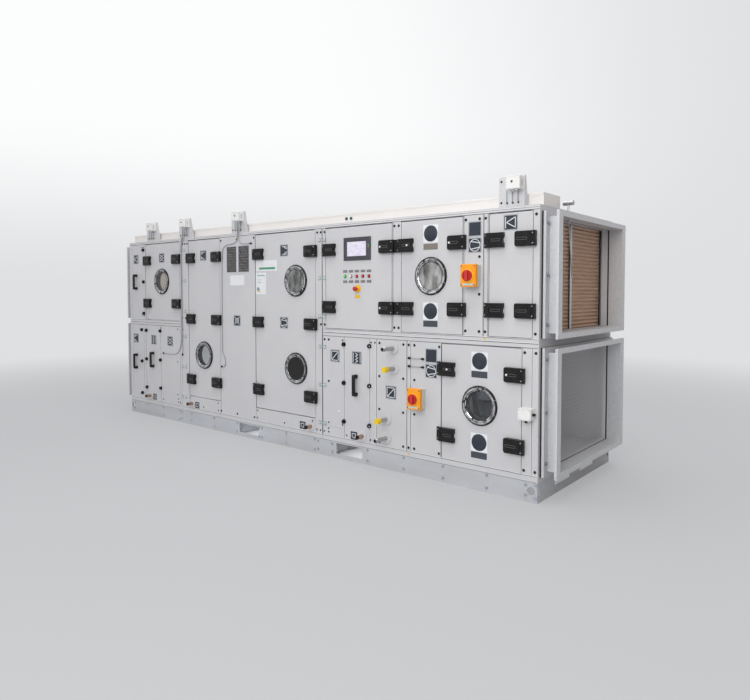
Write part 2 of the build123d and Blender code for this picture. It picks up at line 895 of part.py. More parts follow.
def hinge_block(pin_x, pad_left, z):
    """The door half of a hinge pad: a block with a notch in its right edge."""
    pad_right = pad_left + pad_width
    block_left = pin_x + knuckle_radius + knuckle_gap
    with BuildSketch(front_plane(0)) as outline:
        with Locations(((block_left + pad_right) / 2, z)):
            Rectangle(pad_right - block_left, pad_height)
        with Locations((pad_right - pad_notch_depth + pad_notch_radius, z)):
            Circle(pad_notch_radius, mode=Mode.SUBTRACT)
    extrude(outline.sketch, amount=pad_thickness)


def hinge_knuckles(pin_x, z):
    """The two knuckles of the door half, round the pin."""
    bottom = z - pad_height / 2
    third = pad_height / 3
    block_left = pin_x + knuckle_radius + knuckle_gap
    for knuckle_bottom in (bottom, bottom + 2 * third + leaf_gap):
        knuckle = (knuckle_bottom, knuckle_bottom + third - leaf_gap)
        rod_z(pin_x, pin_y, knuckle_radius, knuckle)
        slab((pin_x, block_left + pad_edge), (pin_y - knuckle_radius, pin_y), knuckle)


def hinge_leaf_on_frame(pin_x, pad_left, z):
    """The frame half of a hinge pad: a low block with the middle knuckle."""
    bottom = z - pad_height / 2
    third = pad_height / 3
    block_right = pin_x - knuckle_radius - swing_gap
    slab((pad_left, block_right), (pin_y, front), (bottom, bottom + pad_height))
    knuckle = (bottom + third + leaf_gap, bottom + 2 * third - leaf_gap)
    rod_z(pin_x, pin_y, knuckle_radius, knuckle)
    slab((block_right, pin_x), (pin_y, front - leaf_gap), knuckle)


def latch_pad(door_edge, z):
    """A latch pad at the free edge of a door, lifted off the frame where it reaches over it."""
    right = door_edge + pad_overhang
    left = right - pad_width
    lift_edge = door_edge - 2 * door_gap
    profile_points = [
        (left, front),
        (left, front - latch_nose),
        (left + latch_taper, front - pad_thickness),
        (right, front - pad_thickness),
        (right, front - latch_lift),
        (lift_edge, front - latch_lift),
        (lift_edge, front),
    ]
    with BuildSketch(Plane.XY.offset(z - pad_height / 2)) as profile:
        with BuildLine():
            Polyline(*profile_points, close=True)
        make_face()
    extrude(profile.sketch, amount=pad_height)
    corner_x = left + latch_corner
    for side in (-1, 1):
        corner_z = z + side * (pad_height / 2 - latch_corner)
        with BuildSketch(front_plane(0)) as corner:
            with Locations((corner_x - latch_corner / 2, corner_z + side * latch_corner / 2)):
                Rectangle(latch_corner, latch_corner)
            with Locations((corner_x, corner_z)):
                Circle(latch_corner, mode=Mode.SUBTRACT)
        extrude(corner.sketch, amount=pad_thickness, mode=Mode.SUBTRACT)


def latch_strip_groove(door_edge, z):
    """The sunk strip with the key slot at the outer end of a latch pad."""
    strip_right = door_edge + pad_overhang - latch_strip_inset
    strip_level = (z - pad_height / 2 + latch_strip_inset, z + pad_height / 2 - latch_strip_inset)
    strip_front = front - pad_thickness
    strip_y = (strip_front, strip_front + latch_strip_depth)
    slab((strip_right - latch_strip, strip_right), strip_y, strip_level, Mode.SUBTRACT)


window_ring_outline = [
    (window_clear_radius, window_seat),
    (window_clear_radius + window_ring_edge, window_ring_height),
    (window_ring_radius - window_ring_edge, window_ring_height),
    (window_ring_radius, window_ring_height - window_ring_edge),
    (window_ring_radius, 0),
    (window_hole_radius - fit, 0),
    (window_hole_radius - fit, -wall),
    (window_clear_radius, -wall),
]


def centre(span):
    """The middle of a span."""
    return (span[0] + span[1]) / 2


door_1_windows = [(centre(door_1_span), door_1_window_z)]
door_2_windows = [(centre(door_2_span), door_2_window_z)]
door_3_window_x = centre(door_3_span) + door_3_window_shift
door_3_windows = [(door_3_window_x, door_3_upper_window_z), (door_3_window_x, door_3_lower_window_z)]
fan_door_windows = [(centre(fan_door_span), fan_window_z)]
lower_fan_door_windows = [(centre(lower_fan_door_span), lower_fan_window_z)]

doors = {
    "door_1": (door_1_span, upper_level, False, door_1_windows),
    "door_2": (door_2_span, tall_level, True, door_2_windows),
    "door_3": (door_3_span, tall_level, True, door_3_windows),
    "cabinet_door": (cabinet_span, upper_level, False, []),
    "fan_door": (fan_door_span, upper_level, False, fan_door_windows),
    "filter_door": (filter_door_span, upper_level, False, []),
    "lower_fan_door": (lower_fan_door_span, lower_level, False, lower_fan_door_windows),
}

for name, (span, level, tall, windows) in doors.items():
    with BuildPart() as leaf:
        slab(inset(span, door_gap), (front, front + door_lip), inset(level, door_gap))
        chamfer(foremost_edges(leaf), panel_edge)
        plug_inset = door_gap + door_step
        slab(inset(span, plug_inset), (front + door_lip, inner_front), inset(level, plug_inset))
        for x, z in windows:
            rod_y(x, z, window_hole_radius, front_wall, Mode.SUBTRACT)
    save(leaf, name)
    with BuildPart() as fittings:
        pin_x = span[0] + door_gap + pin_inset
        for z in pad_heights(level, tall):
            hinge_block(pin_x, span[0] - pad_overhang, z)
            latch_pad(span[1], z)
        chamfer(foremost_edges(fittings), pad_edge)
        for z in pad_heights(level, tall):
            hinge_knuckles(pin_x, z)
            latch_strip_groove(span[1], z)
        for x, z in windows:
            turned(x, z, window_ring_outline)
    save(fittings, name + "_fittings")
    if windows:
        with BuildPart() as glass:
            for x, z in windows:
                rod_y(x, z, window_clear_radius - fit, (front - window_seat, front))
        save(glass, name + "_glass")

with BuildPart() as hinge_leaves:
    for span, level, tall, windows in doors.values():
        for z in pad_heights(level, tall):
            hinge_leaf_on_frame(span[0] + door_gap + pin_inset, span[0] - pad_overhang, z)
save(hinge_leaves, "hinge_leaves")

# Operator display: a bevelled frame with a sunk screen, key strip on its right
display_x = from_right(display_centre)
with BuildPart() as display:
    with BuildSketch(front_plane(0)):
        with Locations((display_x, display_z)):
            Rectangle(display_width, display_height)
    extrude(amount=display_depth)
    chamfer(foremost_edges(display), display_edge)
    with BuildSketch(front_plane(display_depth - screen_depth)):
        with Locations((display_x - screen_shift, display_z)):
            Rectangle(screen_width, screen_height)
    extrude(amount=screen_depth, mode=Mode.SUBTRACT)
save(display, "display")

# Pilot lamps: a bezel and a domed lens
lamp_outline = [
    (0, 0),
    (lamp_radius, 0),
    (lamp_radius, lamp_bezel_height),
    (lamp_lens_radius, lamp_bezel_height),
    (lamp_lens_radius, lamp_height - lamp_dome),
    (lamp_lens_radius - lamp_dome, lamp_height),
    (0, lamp_height),
]
with BuildPart() as lamps:
    for index in range(lamp_count):
        lamp_x = from_right(lamp_centre) + (index - (lamp_count - 1) / 2) * lamp_pitch
        turned(lamp_x, lamp_z, lamp_outline)
save(lamps, "lamps")

# Emergency stop: plate and collar on the door, mushroom button that is pushed in
stop_x = from_right(stop_centre)
collar_front = stop_disc_thickness + stop_collar_height
stop_bore_radius = stop_stem_radius + stop_bore_clearance
stop_base_outline = [
    (stop_bore_radius, 0),
    (stop_disc_radius, 0),
    (stop_disc_radius, stop_disc_thickness),
    (stop_collar_radius, stop_disc_thickness),
    (stop_collar_radius, collar_front),
    (stop_bore_radius, collar_front),
]
with BuildPart() as stop_base:
    turned(stop_x, stop_z, stop_base_outline)
save(stop_base, "stop_base")

stop_button_outline = [
    (0, stop_stem_end),
    (stop_stem_radius, stop_stem_end),
    (stop_stem_radius, stop_head_back - stop_dome),
    (stop_neck_radius, stop_head_back - stop_dome),
    (stop_head_radius, stop_head_back),
    (stop_head_radius, stop_head_front - stop_dome),
    (stop_head_radius - stop_dome, stop_head_front),
    (0, stop_head_front),
]
with BuildPart() as stop_button:
    turned(stop_x, stop_z, stop_button_outline)
save(stop_button, "stop_button")

# Isolators: grey box, yellow cover with a collar, red handle that turns
isolators = {
    "upper_isolator": (from_right(isolator_centre), isolator_z),
    "lower_isolator": (from_right(lower_isolator_centre), lower_isolator_z),
}
cover_front = isolator_body_depth + isolator_plate
ring_front = cover_front + isolator_ring_height
box_width = isolator_width - 2 * isolator_step
box_height = isolator_height - 2 * isolator_step
with BuildPart() as isolator_bodies:
    with BuildSketch(front_plane(0)):
        with Locations(*isolators.values()):
            RectangleRounded(box_width, box_height, isolator_corner)
    extrude(amount=isolator_body_depth)
    with BuildSketch(front_plane(isolator_body_depth)):
        with Locations(*isolators.values()):
            RectangleRounded(isolator_width, isolator_height, isolator_corner)
    extrude(amount=isolator_plate)
    chamfer(foremost_edges(isolator_bodies), isolator_edge)
    for x, z in isolators.values():
        rod_y(x, z, isolator_ring_radius, (front - ring_front, front - cover_front))
        rod_y(x, z, spindle_radius + spindle_clearance, (front - ring_front, front), Mode.SUBTRACT)
save(isolator_bodies, "isolator_bodies")

knob_back = ring_front + isolator_knob_gap
knob_front = knob_back + isolator_knob_depth
grip_front = knob_back + isolator_grip_depth
spindle_end = isolator_body_depth / 2
for name, (x, z) in isolators.items():
    with BuildPart() as handle:
        turned(x, z, [
            (0, spindle_end),
            (spindle_radius, spindle_end),
            (spindle_radius, knob_back),
            (isolator_knob_radius, knob_back),
            (isolator_knob_radius, knob_front - isolator_edge),
            (isolator_knob_radius - isolator_edge, knob_front),
            (0, knob_front),
        ])
        with BuildSketch(front_plane(knob_front)):
            with Locations((x, z)):
                SlotOverall(2 * isolator_knob_radius - isolator_edge, isolator_grip_width, rotation=90)
        extrude(amount=grip_front - knob_front)
        chamfer(foremost_edges(handle), isolator_edge)
    save(handle, name + "_handle")


def bridge_handle(x, z):
    """A bridge handle: rounded corners, two feet and a finger gap behind the bar."""
    with BuildSketch(Plane.YZ.offset(x - handle_width / 2)) as side:
        with Locations((front - handle_reach / 2, z)):
            Rectangle(handle_reach, handle_height)
        fillet(side.vertices().group_by(Axis.X)[0], handle_corner)
        with Locations((front - (handle_reach - handle_bar) / 2, z)):
            Rectangle(handle_reach - handle_bar, handle_height - 2 * handle_foot, mode=Mode.SUBTRACT)
    extrude(side.sketch, amount=handle_width)


knob_outline = [
    (0, 0),
    (knob_radius, 0),
    (knob_radius, knob_flange / 2),
    (knob_radius - knob_flange / 2, knob_flange),
    (knob_stem_radius, knob_flange),
    (knob_stem_radius, knob_height),
    (0, knob_height),
]


def quarter_turn_knob(x, z):
    """A round flange with a winged grip."""
    turned(x, z, knob_outline)
    with BuildSketch(front_plane(knob_flange)) as wing:
        with Locations((x, z)):
            SlotOverall(knob_wing_length, knob_wing_width, rotation=90)
    extrude(wing.sketch, amount=knob_height - knob_flange)


# Bridge handles and quarter-turn knobs of the lift-off filter panels
knob_rows = [
    (left_filter_left - knob_post_offset, left_post_knobs),
    (left_filter_edge + knob_seam_offset, left_seam_knobs),
    (left_lower_edge, left_bay_knobs),
    (door_1_span[0] - knob_door_offset, upper_left_knobs),
    (filter_right, filter_panel_knobs),
    (filter_left, filter_panel_knobs),
]
with BuildPart() as panel_handles:
    for distance, z in handle_places:
        bridge_handle(from_right(distance), z)
    fillet(panel_handles.faces().group_by(Axis.Y)[0].edges().filter_by(Axis.Z), handle_edge)
    for x, heights in knob_rows:
        for z in heights:
            quarter_turn_knob(x, z)
save(panel_handles, "panel_handles")


def pipe_outline(radius, bore, length, disc_radius, disc_thickness, disc_edge):
    """Outline of a pipe that comes out of a wall rosette."""
    return [
        (bore, 0),
        (disc_radius, 0),
        (disc_radius, disc_thickness - disc_edge),
        (disc_radius - disc_edge, disc_thickness),
        (radius, disc_thickness),
        (radius, length),
        (bore, length),
    ]


# Coil pipes with rosettes, two of them closed by push-on caps
capped_length = cap_front - cap_wall - fit
cap_outline = [
    (0, cap_front),
    (cap_radius, cap_front),
    (cap_radius, cap_front - cap_length),
    (stub_radius + fit, cap_front - cap_length),
    (stub_radius + fit, cap_front - cap_wall),
    (0, cap_front - cap_wall),
]
with BuildPart() as pipe_stubs:
    for places, length in ((open_stubs, stub_length), (capped_stubs, capped_length)):
        stub_outline = pipe_outline(
            stub_radius, stub_bore_radius, length, rosette_radius, rosette_thickness, rosette_edge
        )
        for distance, z in places:
            turned(from_right(distance), z, stub_outline)
    for distance, z in capped_stubs:
        turned(from_right(distance), z, cap_outline)
save(pipe_stubs, "pipe_stubs")

drain_outline = pipe_outline(
    drain_radius, drain_bore_radius, drain_length, drain_rosette_radius, drain_rosette_thickness, panel_edge
)
with BuildPart() as drain_stubs:
    for distance in drain_places:
        turned(from_right(distance), drain_z, drain_outline)
save(drain_stubs, "drain_stubs")

# Cable trunking with an overlapping lid in lengths
trunking_span = (left_end, right_end - trunking_right)
trunking_y = (front + trunking_front, front + trunking_front + trunking_width)
trunking_top = casing_top + trunking_height
lid_y = (trunking_y[0] - trunking_lid_overhang, trunking_y[1] + trunking_lid_overhang)
lid_pitch = (trunking_span[1] - trunking_span[0]) / (trunking_seam_count + 1)
with BuildPart() as cable_trunking:
    slab(trunking_span, trunking_y, (casing_top, trunking_top))
    slab(trunking_span, lid_y, (trunking_top - 2 * trunking_lid, trunking_top))
    for index in range(trunking_seam_count):
        seam_x = trunking_span[0] + (index + 1) * lid_pitch
        seam_level = (trunking_top - trunking_seam, trunking_top)
        slab((seam_x - trunking_seam / 2, seam_x + trunking_seam / 2), lid_y, seam_level, Mode.SUBTRACT)
save(cable_trunking, "cable_trunking")

# Sensor brackets: an upright plate, a flange folded back at its top and a gusset at its right edge
bracket_lefts = [from_right(distance) for distance in bracket_places]
bracket_face = front + bracket_front
bracket_back = bracket_face + bracket_sheet
bracket_top = casing_top + bracket_height
gusset_outline = [
    (bracket_face, casing_top),
    (bracket_face, bracket_top),
    (bracket_face + bracket_flange, bracket_top),
    (bracket_face + bracket_depth, casing_top),
]
with BuildPart() as sensor_brackets:
    for x in bracket_lefts:
        with BuildSketch(Plane.YZ.offset(x + bracket_width - bracket_sheet)) as gusset:
            with BuildLine():
                Polyline(*gusset_outline, close=True)
            make_face()
        extrude(gusset.sketch, amount=bracket_sheet)
        slab((x, x + bracket_width), (bracket_face, bracket_back), (casing_top, bracket_top))
        flange_y = (bracket_face, bracket_face + bracket_flange)
        slab((x, x + bracket_width), flange_y, (bracket_top - bracket_sheet, bracket_top))
save(sensor_brackets, "sensor_brackets")

# Sensor boxes with two nipples below, junction box with two glands
sensor_bottom = casing_top + sensor_lift
sensor_centre_z = sensor_bottom + sensor_height / 2
sensor_centres = [x + bracket_width - sensor_margin - sensor_width / 2 for x in bracket_lefts]
nipple_end = sensor_bottom - sensor_nipple_length
nipple_y = bracket_face - sensor_nipple_depth
junction_x = from_right(junction_centre)
with BuildPart() as instrument_boxes:
    with BuildSketch(Plane.XZ.offset(-bracket_face)):
        with Locations(*[(x, sensor_centre_z) for x in sensor_centres]):
            RectangleRounded(sensor_width, sensor_height, sensor_corner)
    extrude(amount=sensor_depth)
    chamfer(foremost_edges(instrument_boxes), sensor_edge)
    for x in sensor_centres:
        for side in (-1, 1):
            nipple_x = x + side * sensor_nipple_pitch / 2
            rod_z(nipple_x, nipple_y, sensor_nipple_radius, (nipple_end, sensor_bottom))
    with BuildSketch(front_plane(0)):
        with Locations((junction_x, junction_z)):
            RectangleRounded(junction_width, junction_height, junction_corner)
    extrude(amount=junction_depth)
    gland_y = front - junction_depth / 2
    junction_right = junction_x + junction_width / 2
    rod_x(gland_y, junction_z, gland_radius, (junction_right, junction_right + gland_length))
    junction_bottom = junction_z - junction_height / 2
    rod_z(junction_x, gland_y, gland_radius, (junction_bottom - gland_length, junction_bottom))
save(instrument_boxes, "instrument_boxes")


def bend_radii(points):
    """The largest arc that the two runs at each corner allow."""
    radii = []
    for before, corner, after in zip(points, points[1:], points[2:]):
        turn = radians((corner - before).get_angle(after - corner))
        shorter = min((corner - before).length, (after - corner).length)
        radii.append(run_share * shorter / tan(turn / 2))
    return radii


def tube(points):
    """A round measuring tube along straight runs joined by arcs."""
    radii = bend_radii(points)
    print("tube bends", [round(radius) for radius in radii])
    with BuildLine() as route:
        FilletPolyline(*points, radius=radii)
    with BuildSketch(Plane(origin=route.line @ 0, z_dir=route.line % 0)) as section:
        Circle(tube_radius)
    sweep(section.sketch, path=route.line)


def at(places):
    """Points from X distances off the right end, distances out from the front and heights."""
    return [Vector(from_right(distance), front - out, z) for distance, out, z in places]


def nipple_start(sensor, side):
    """The lower end of one of a sensor's two nipples, and the point that its tube drops to."""
    tip = Vector(sensor_centres[sensor] + side * sensor_nipple_pitch / 2, nipple_y, nipple_end)
    return [tip, tip - Vector(0, 0, nipple_drop)]


def side_barb(place, side):
    """Where a tube meets the barb of a wall fitting, on its left or right."""
    return Vector(from_right(place[0]) + side * (fitting_radius + barb_length), front - tube_axis, place[1])


def top_barb(place):
    """Where a tube meets the barb on top of a wall fitting."""
    return Vector(from_right(place[0]), front - tube_axis, place[1] + fitting_radius + barb_length)


bridge_starts = [(bridge_fittings[0], z) for z in bridge_heights]
bridge_ends = [(bridge_fittings[1], z) for z in bridge_heights]
with BuildPart() as measuring_tubes:
    tube([*nipple_start(2, -1), *at(left_tube_route), side_barb(left_tube_fitting, 1)])
    tube([*nipple_start(2, 1), *at(right_tube_route), side_barb(right_tube_fitting, -1)])
    tube([*nipple_start(1, -1), *at(seam_tube_route), side_barb(seam_tube_fitting, 1)])
    tube([*nipple_start(1, 1), *at(side_tube_route), top_barb(side_tube_fitting)])
    for start, end in zip(bridge_starts, bridge_ends):
        rod_x(front - tube_axis, start[1], tube_radius, (side_barb(start, 1).X, side_barb(end, -1).X))
save(measuring_tubes, "measuring_tubes")

fitting_sides = [(left_tube_fitting, 1), (right_tube_fitting, -1), (seam_tube_fitting, 1)]
fitting_sides += [(place, 1) for place in bridge_starts] + [(place, -1) for place in bridge_ends]
fitting_outline = [
    (0, 0),
    (fitting_radius, 0),
    (fitting_radius, fitting_height - panel_edge),
    (fitting_radius - panel_edge, fitting_height),
    (0, fitting_height),
]
with BuildPart() as tube_fittings:
    for place, side in fitting_sides:
        x = from_right(place[0])
        turned(x, place[1], fitting_outline)
        rod_x(front - tube_axis, place[1], barb_radius, sorted((x, side_barb(place, side).X)))
    side_x = from_right(side_tube_fitting[0])
    turned(side_x, side_tube_fitting[1], fitting_outline)
    barb_span = (side_tube_fitting[1], top_barb(side_tube_fitting).Z)
    rod_z(side_x, front - tube_axis, barb_radius, barb_span)
save(tube_fittings, "tube_fittings")

# Duct probe: head and stem on top of the upper right collar, thin rod across the duct
web_top = upper_collar_z[1] - collar_level_lip
probe_head_x = right_end + probe_x
probe_head_y = front + probe_y
duct_ceiling = web_top - collar_sheet
gland_level = (duct_ceiling - probe_gland_height, duct_ceiling)
rod_top = Vector(probe_head_x, probe_head_y, gland_level[0] + probe_rod_radius)
rod_end = Vector(probe_head_x, front + probe_rod_end_y, probe_rod_end_z)
rod_line = rod_end - rod_top
with BuildPart() as duct_probe:
    head_span = (probe_head_x - probe_head_length / 2, probe_head_x + probe_head_length / 2)
    rod_x(probe_head_y, probe_head_z, probe_head_radius, head_span)
    rod_z(probe_head_x, probe_head_y, probe_stem_radius, (web_top, probe_head_z))
    rod_z(probe_head_x, probe_head_y, probe_stem_radius, gland_level)
    with BuildSketch(Plane(origin=rod_top, z_dir=rod_line)) as rod_section:
        Circle(probe_rod_radius)
    extrude(rod_section.sketch, amount=rod_line.length)
save(duct_probe, "duct_probe")
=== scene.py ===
# %% [markdown]
# # Dressing an air handling unit
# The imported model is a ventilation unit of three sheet-metal modules on a base frame. Its shapes are finished
# in CAD: the doors, fans, collars and pipes. This lesson gives each of them the finish that the real unit
# has, and adds the small things that a fitter's eye looks for: screws, seam beads, lock dots, sight-glass
# rings and bare label plates. Loading comes first, because every later step measures the loaded nodes instead
# of repeating their sizes.

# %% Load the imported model
import json
import math

import bmesh
import bpy
from mathutils import Matrix, Vector
from mathutils.bvhtree import BVHTree


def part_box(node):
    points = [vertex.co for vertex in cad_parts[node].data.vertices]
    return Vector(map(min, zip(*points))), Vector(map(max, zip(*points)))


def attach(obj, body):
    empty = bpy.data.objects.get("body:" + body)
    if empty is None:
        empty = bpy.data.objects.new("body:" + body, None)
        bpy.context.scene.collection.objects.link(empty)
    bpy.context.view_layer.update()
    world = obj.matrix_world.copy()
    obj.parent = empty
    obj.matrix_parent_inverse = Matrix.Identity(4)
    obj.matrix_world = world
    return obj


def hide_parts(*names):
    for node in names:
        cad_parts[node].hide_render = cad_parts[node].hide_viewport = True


MM = 0.001
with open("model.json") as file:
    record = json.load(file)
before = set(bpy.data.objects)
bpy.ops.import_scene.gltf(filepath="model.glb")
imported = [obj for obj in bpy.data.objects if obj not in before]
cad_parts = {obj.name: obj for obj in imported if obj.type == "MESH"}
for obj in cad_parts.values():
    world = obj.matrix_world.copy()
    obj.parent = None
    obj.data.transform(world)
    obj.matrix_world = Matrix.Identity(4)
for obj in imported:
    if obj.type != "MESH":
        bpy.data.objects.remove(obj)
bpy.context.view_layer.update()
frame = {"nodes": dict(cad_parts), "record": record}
nodes = frame["nodes"]
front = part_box("front_panels")[0].y
right_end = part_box("roof_panels")[1].x
doors = ["door_1", "door_2", "door_3", "cabinet_door", "fan_door", "filter_door", "lower_fan_door"]
print("loaded", len(nodes), "nodes; the casing front is at", round(front, 4), "m")

# %% [markdown]
# ## Camera
# The unit is seen from its right front corner, a little above half height. A camera is set by its lens, its
# place and the direction that it looks in. The lens is a short one for the size of the unit, so the near end
# looks much taller than the far one. The small vertical shift keeps the uprights upright, as an architect's
# shift lens does, where tilting the camera down would make them lean.

# %% Camera
scene = bpy.context.scene
lens = bpy.data.cameras.new("view_lens")
lens.lens = 29.96
lens.sensor_width = 36
lens.shift_y = -0.0451
lens.clip_end = 200
camera = bpy.data.objects.new("view_camera", lens)
scene.collection.objects.link(camera)
camera.location = (4.5365, -4.7215, 1.468)
looking = Vector((-0.6363, 0.7706, -0.0383))
camera.rotation_euler = looking.to_track_quat("-Z", "Y").to_euler()
scene.camera = camera
scene.view_settings.view_transform = "Standard"
print("camera looks along", tuple(round(value, 3) for value in looking))

# %% [markdown]
# ## Shader nodes
# The air round the unit, the floor and every finish are small networks of shader nodes. Each node is made the
# same way: it gets its settings, and each of its inlets gets either a plain value or the outlet of another
# node. One function that tells the two apart lets a network be written in the order in which it is read.

# %% Shader node helpers
def give(inlet, value):
    """Set an inlet to a plain value, or link another node's outlet to it."""
    if isinstance(value, bpy.types.NodeSocket):
        inlet.id_data.links.new(value, inlet)
    else:
        inlet.default_value = value


def add_node(tree, kind, feeds=None, **settings):
    """A node of this kind, with its settings and with what feeds each of its inlets."""
    node = tree.nodes.new(kind)
    for name, value in settings.items():
        setattr(node, name, value)
    for inlet, value in (feeds or {}).items():
        give(node.inputs[inlet], value)
    return node


def reckon(tree, operation, first, second):
    """Two values put through one Math node."""
    return add_node(tree, "ShaderNodeMath", {0: first, 1: second}, operation=operation).outputs[0]


def ramp(tree, value, low, high, to_low=0.0, to_high=1.0, kind="LINEAR"):
    """Part of a value's range, stretched to another range."""
    feeds = {"Value": value, "From Min": low, "From Max": high, "To Min": to_low, "To Max": to_high}
    return add_node(tree, "ShaderNodeMapRange", feeds, interpolation_type=kind).outputs["Result"]


def blend(tree, share, first, second):
    """The first colour, turning into the second as the share grows."""
    return add_node(tree, "ShaderNodeMix", {0: share, 6: first, 7: second}, data_type="RGBA").outputs[2]


print("shader node helpers ready")

# %% [markdown]
# ## Daylight studio
# Powder-coated sheet shows its colour best under large soft lamps. The world gives a flat fill, one big lamp
# stands in front on the right, and a second one hangs above. The fill from the right end is weaker and
# warmer, so that end reads darker. The backdrop that the camera sees has a lighter colour of its own: Light
# Path tells camera, glossy and transmitted rays from the others, so the wall can be pale without washing out
# the panels. Gradients read from the direction of the ray keep the wall from looking flat. They make it paler
# upwards and brightest on the upper left. Small lamps stand behind the right duct openings and the fork
# pockets, where hardly any of this light would reach, and two weak ones serve the back and the right end.

# %% Sky colours
WALL_LOW = (0.74, 0.745, 0.755, 1)
WALL_HIGH = (0.75, 0.755, 0.77, 1)
WALL_BRIGHT = (0.98, 0.985, 0.99, 1)
FILL_COOL = (0.97, 0.98, 1.0, 1)
FILL_WARM = (0.40, 0.36, 0.33, 1)
world = bpy.data.worlds.new("studio_air")
scene.world = world
world.use_nodes = True
air = world.node_tree
air.nodes.clear()
sky = add_node(air, "ShaderNodeTexCoord")
axes = add_node(air, "ShaderNodeSeparateXYZ", {0: sky.outputs["Generated"]})
sideways, upwards = axes.outputs["X"], axes.outputs["Z"]
rise = ramp(air, upwards, 0.0, 0.3, kind="SMOOTHSTEP")
climb = ramp(air, upwards, 0.0, 0.26, kind="SMOOTHSTEP")
leftward = ramp(air, reckon(air, "MULTIPLY", sideways, -1.0), 0.1, 0.7, kind="SMOOTHSTEP")
rightward = ramp(air, sideways, 0.1, 0.85, kind="SMOOTHSTEP")
wall = blend(air, rise, WALL_LOW, WALL_HIGH)
bright_wall = blend(air, reckon(air, "MULTIPLY", climb, leftward), wall, WALL_BRIGHT)
fill_color = blend(air, rightward, FILL_COOL, FILL_WARM)
print("the wall goes from", WALL_LOW[:3], "to", WALL_BRIGHT[:3])

# %% Two skies in one world
FILL_STRENGTH = 0.74
seen = add_node(air, "ShaderNodeBackground", {"Color": bright_wall, "Strength": 1.0})
fill = add_node(air, "ShaderNodeBackground", {"Color": fill_color, "Strength": FILL_STRENGTH})
rays = add_node(air, "ShaderNodeLightPath").outputs
camera_or_gloss = reckon(air, "MAXIMUM", rays["Is Camera Ray"], rays["Is Glossy Ray"])
any_seen = reckon(air, "MAXIMUM", camera_or_gloss, rays["Is Transmission Ray"])
mixed = add_node(air, "ShaderNodeMixShader", {0: any_seen, 1: fill.outputs[0], 2: seen.outputs[0]})
add_node(air, "ShaderNodeOutputWorld", {"Surface": mixed.outputs[0]})
print("world shaders", len(air.nodes))

# %% Lamps
POCKET_MIDDLES = {"left": -0.425, "right": 0.931}


def soft_lamp(name, place, aim, size, watts, tint=(1, 1, 1)):
    """A large square lamp that looks at a point."""
    data = bpy.data.lights.new(name, "AREA")
    data.shape = "SQUARE"
    data.size = size
    data.energy = watts
    data.color = tint
    lamp = bpy.data.objects.new(name, data)
    scene.collection.objects.link(lamp)
    lamp.location = place
    lamp.rotation_euler = (Vector(aim) - Vector(place)).to_track_quat("-Z", "Y").to_euler()


soft_lamp("key_lamp", (4.0, -7.6, 4.4), (2.9, -0.7, 1.0), 4.5, 300, (1.0, 0.99, 0.97))
soft_lamp("top_lamp", (1.0, -1.5, 8.0), (0.6, 0.0, 1.0), 6.0, 290)
soft_lamp("chamber_lamp_low", (2.45, -0.45, 0.95), (1.95, 0.1, 0.55), 0.25, 1.2)
soft_lamp("chamber_lamp_high", (2.05, -0.45, 1.95), (1.75, 0.1, 1.5), 0.25, 3)
for pocket, middle in POCKET_MIDDLES.items():
    soft_lamp("pocket_lamp_" + pocket, (middle, -0.5, 0.125), (middle, -0.5, 0.0), 0.24, 0.5)
soft_lamp("back_lamp", (-2.5, 7.5, 4.5), (-0.5, 0.7, 1.0), 4.0, 100)
soft_lamp("end_lamp", (9.0, 1.5, 3.5), (2.7, 0.0, 1.2), 3.5, 34)

# %% [markdown]
# ## Floor
# The floor is one large pale sheet. Near the unit it takes the soft shadow, and a share of even glow lifts
# that shadow a little. Far away the floor fades into the wall colour, so no horizon line cuts the picture.
# The fade is a ramp on the distance from the middle, worked out from Object coordinates. Only camera rays see
# the faded colour: for all other rays the floor stays plain.

# %% Floor
FLOOR_RADIUS = 90
FADE_START, FADE_END = 3.0, 11.0
GLOW_SHARE = 0.6
FLOOR_SHEET = (0.50, 0.505, 0.52, 1)
FLOOR_GLOW = (0.54, 0.545, 0.56, 1)
floor_mesh = bmesh.new()
bmesh.ops.create_circle(floor_mesh, cap_ends=True, radius=FLOOR_RADIUS, segments=96)
floor_data = bpy.data.meshes.new("studio_floor")
floor_mesh.to_mesh(floor_data)
floor_mesh.free()
floor = bpy.data.objects.new("studio_floor", floor_data)
scene.collection.objects.link(floor)
floor_finish = bpy.data.materials.new("pale_floor")
floor_finish.use_nodes = True
tree = floor_finish.node_tree
sheet = tree.nodes["Principled BSDF"]
give(sheet.inputs["Base Color"], FLOOR_SHEET)
give(sheet.inputs["Roughness"], 0.75)
grid = add_node(tree, "ShaderNodeTexCoord")
reach = add_node(tree, "ShaderNodeVectorMath", {0: grid.outputs["Object"]}, operation="LENGTH")
fade = ramp(tree, reach.outputs["Value"], FADE_START, FADE_END, kind="SMOOTHSTEP")
glow_color = blend(tree, fade, FLOOR_GLOW, WALL_LOW)
glow = add_node(tree, "ShaderNodeEmission", {"Color": glow_color, "Strength": 1.0})
seen_by_camera = add_node(tree, "ShaderNodeLightPath").outputs["Is Camera Ray"]
share = reckon(tree, "MULTIPLY", ramp(tree, fade, 0.0, 1.0, GLOW_SHARE), seen_by_camera)
faded = add_node(tree, "ShaderNodeMixShader", {0: share, 1: sheet.outputs[0], 2: glow.outputs[0]})
give(tree.nodes["Material Output"].inputs["Surface"], faded.outputs[0])
floor_data.materials.append(floor_finish)
print("floor radius", FLOOR_RADIUS, "m")

# %% [markdown]
# ## A plain finish
# A finish starts as one Principled shader with a plain colour, a roughness and a share of metal. Colours are
# given as they look on a display, and a small function turns them into the linear numbers that a shader
# reckons with. A CAD node is dressed through its material slots, so its mesh stays as it was packed.

# %% Plain finishes
dressed = set()


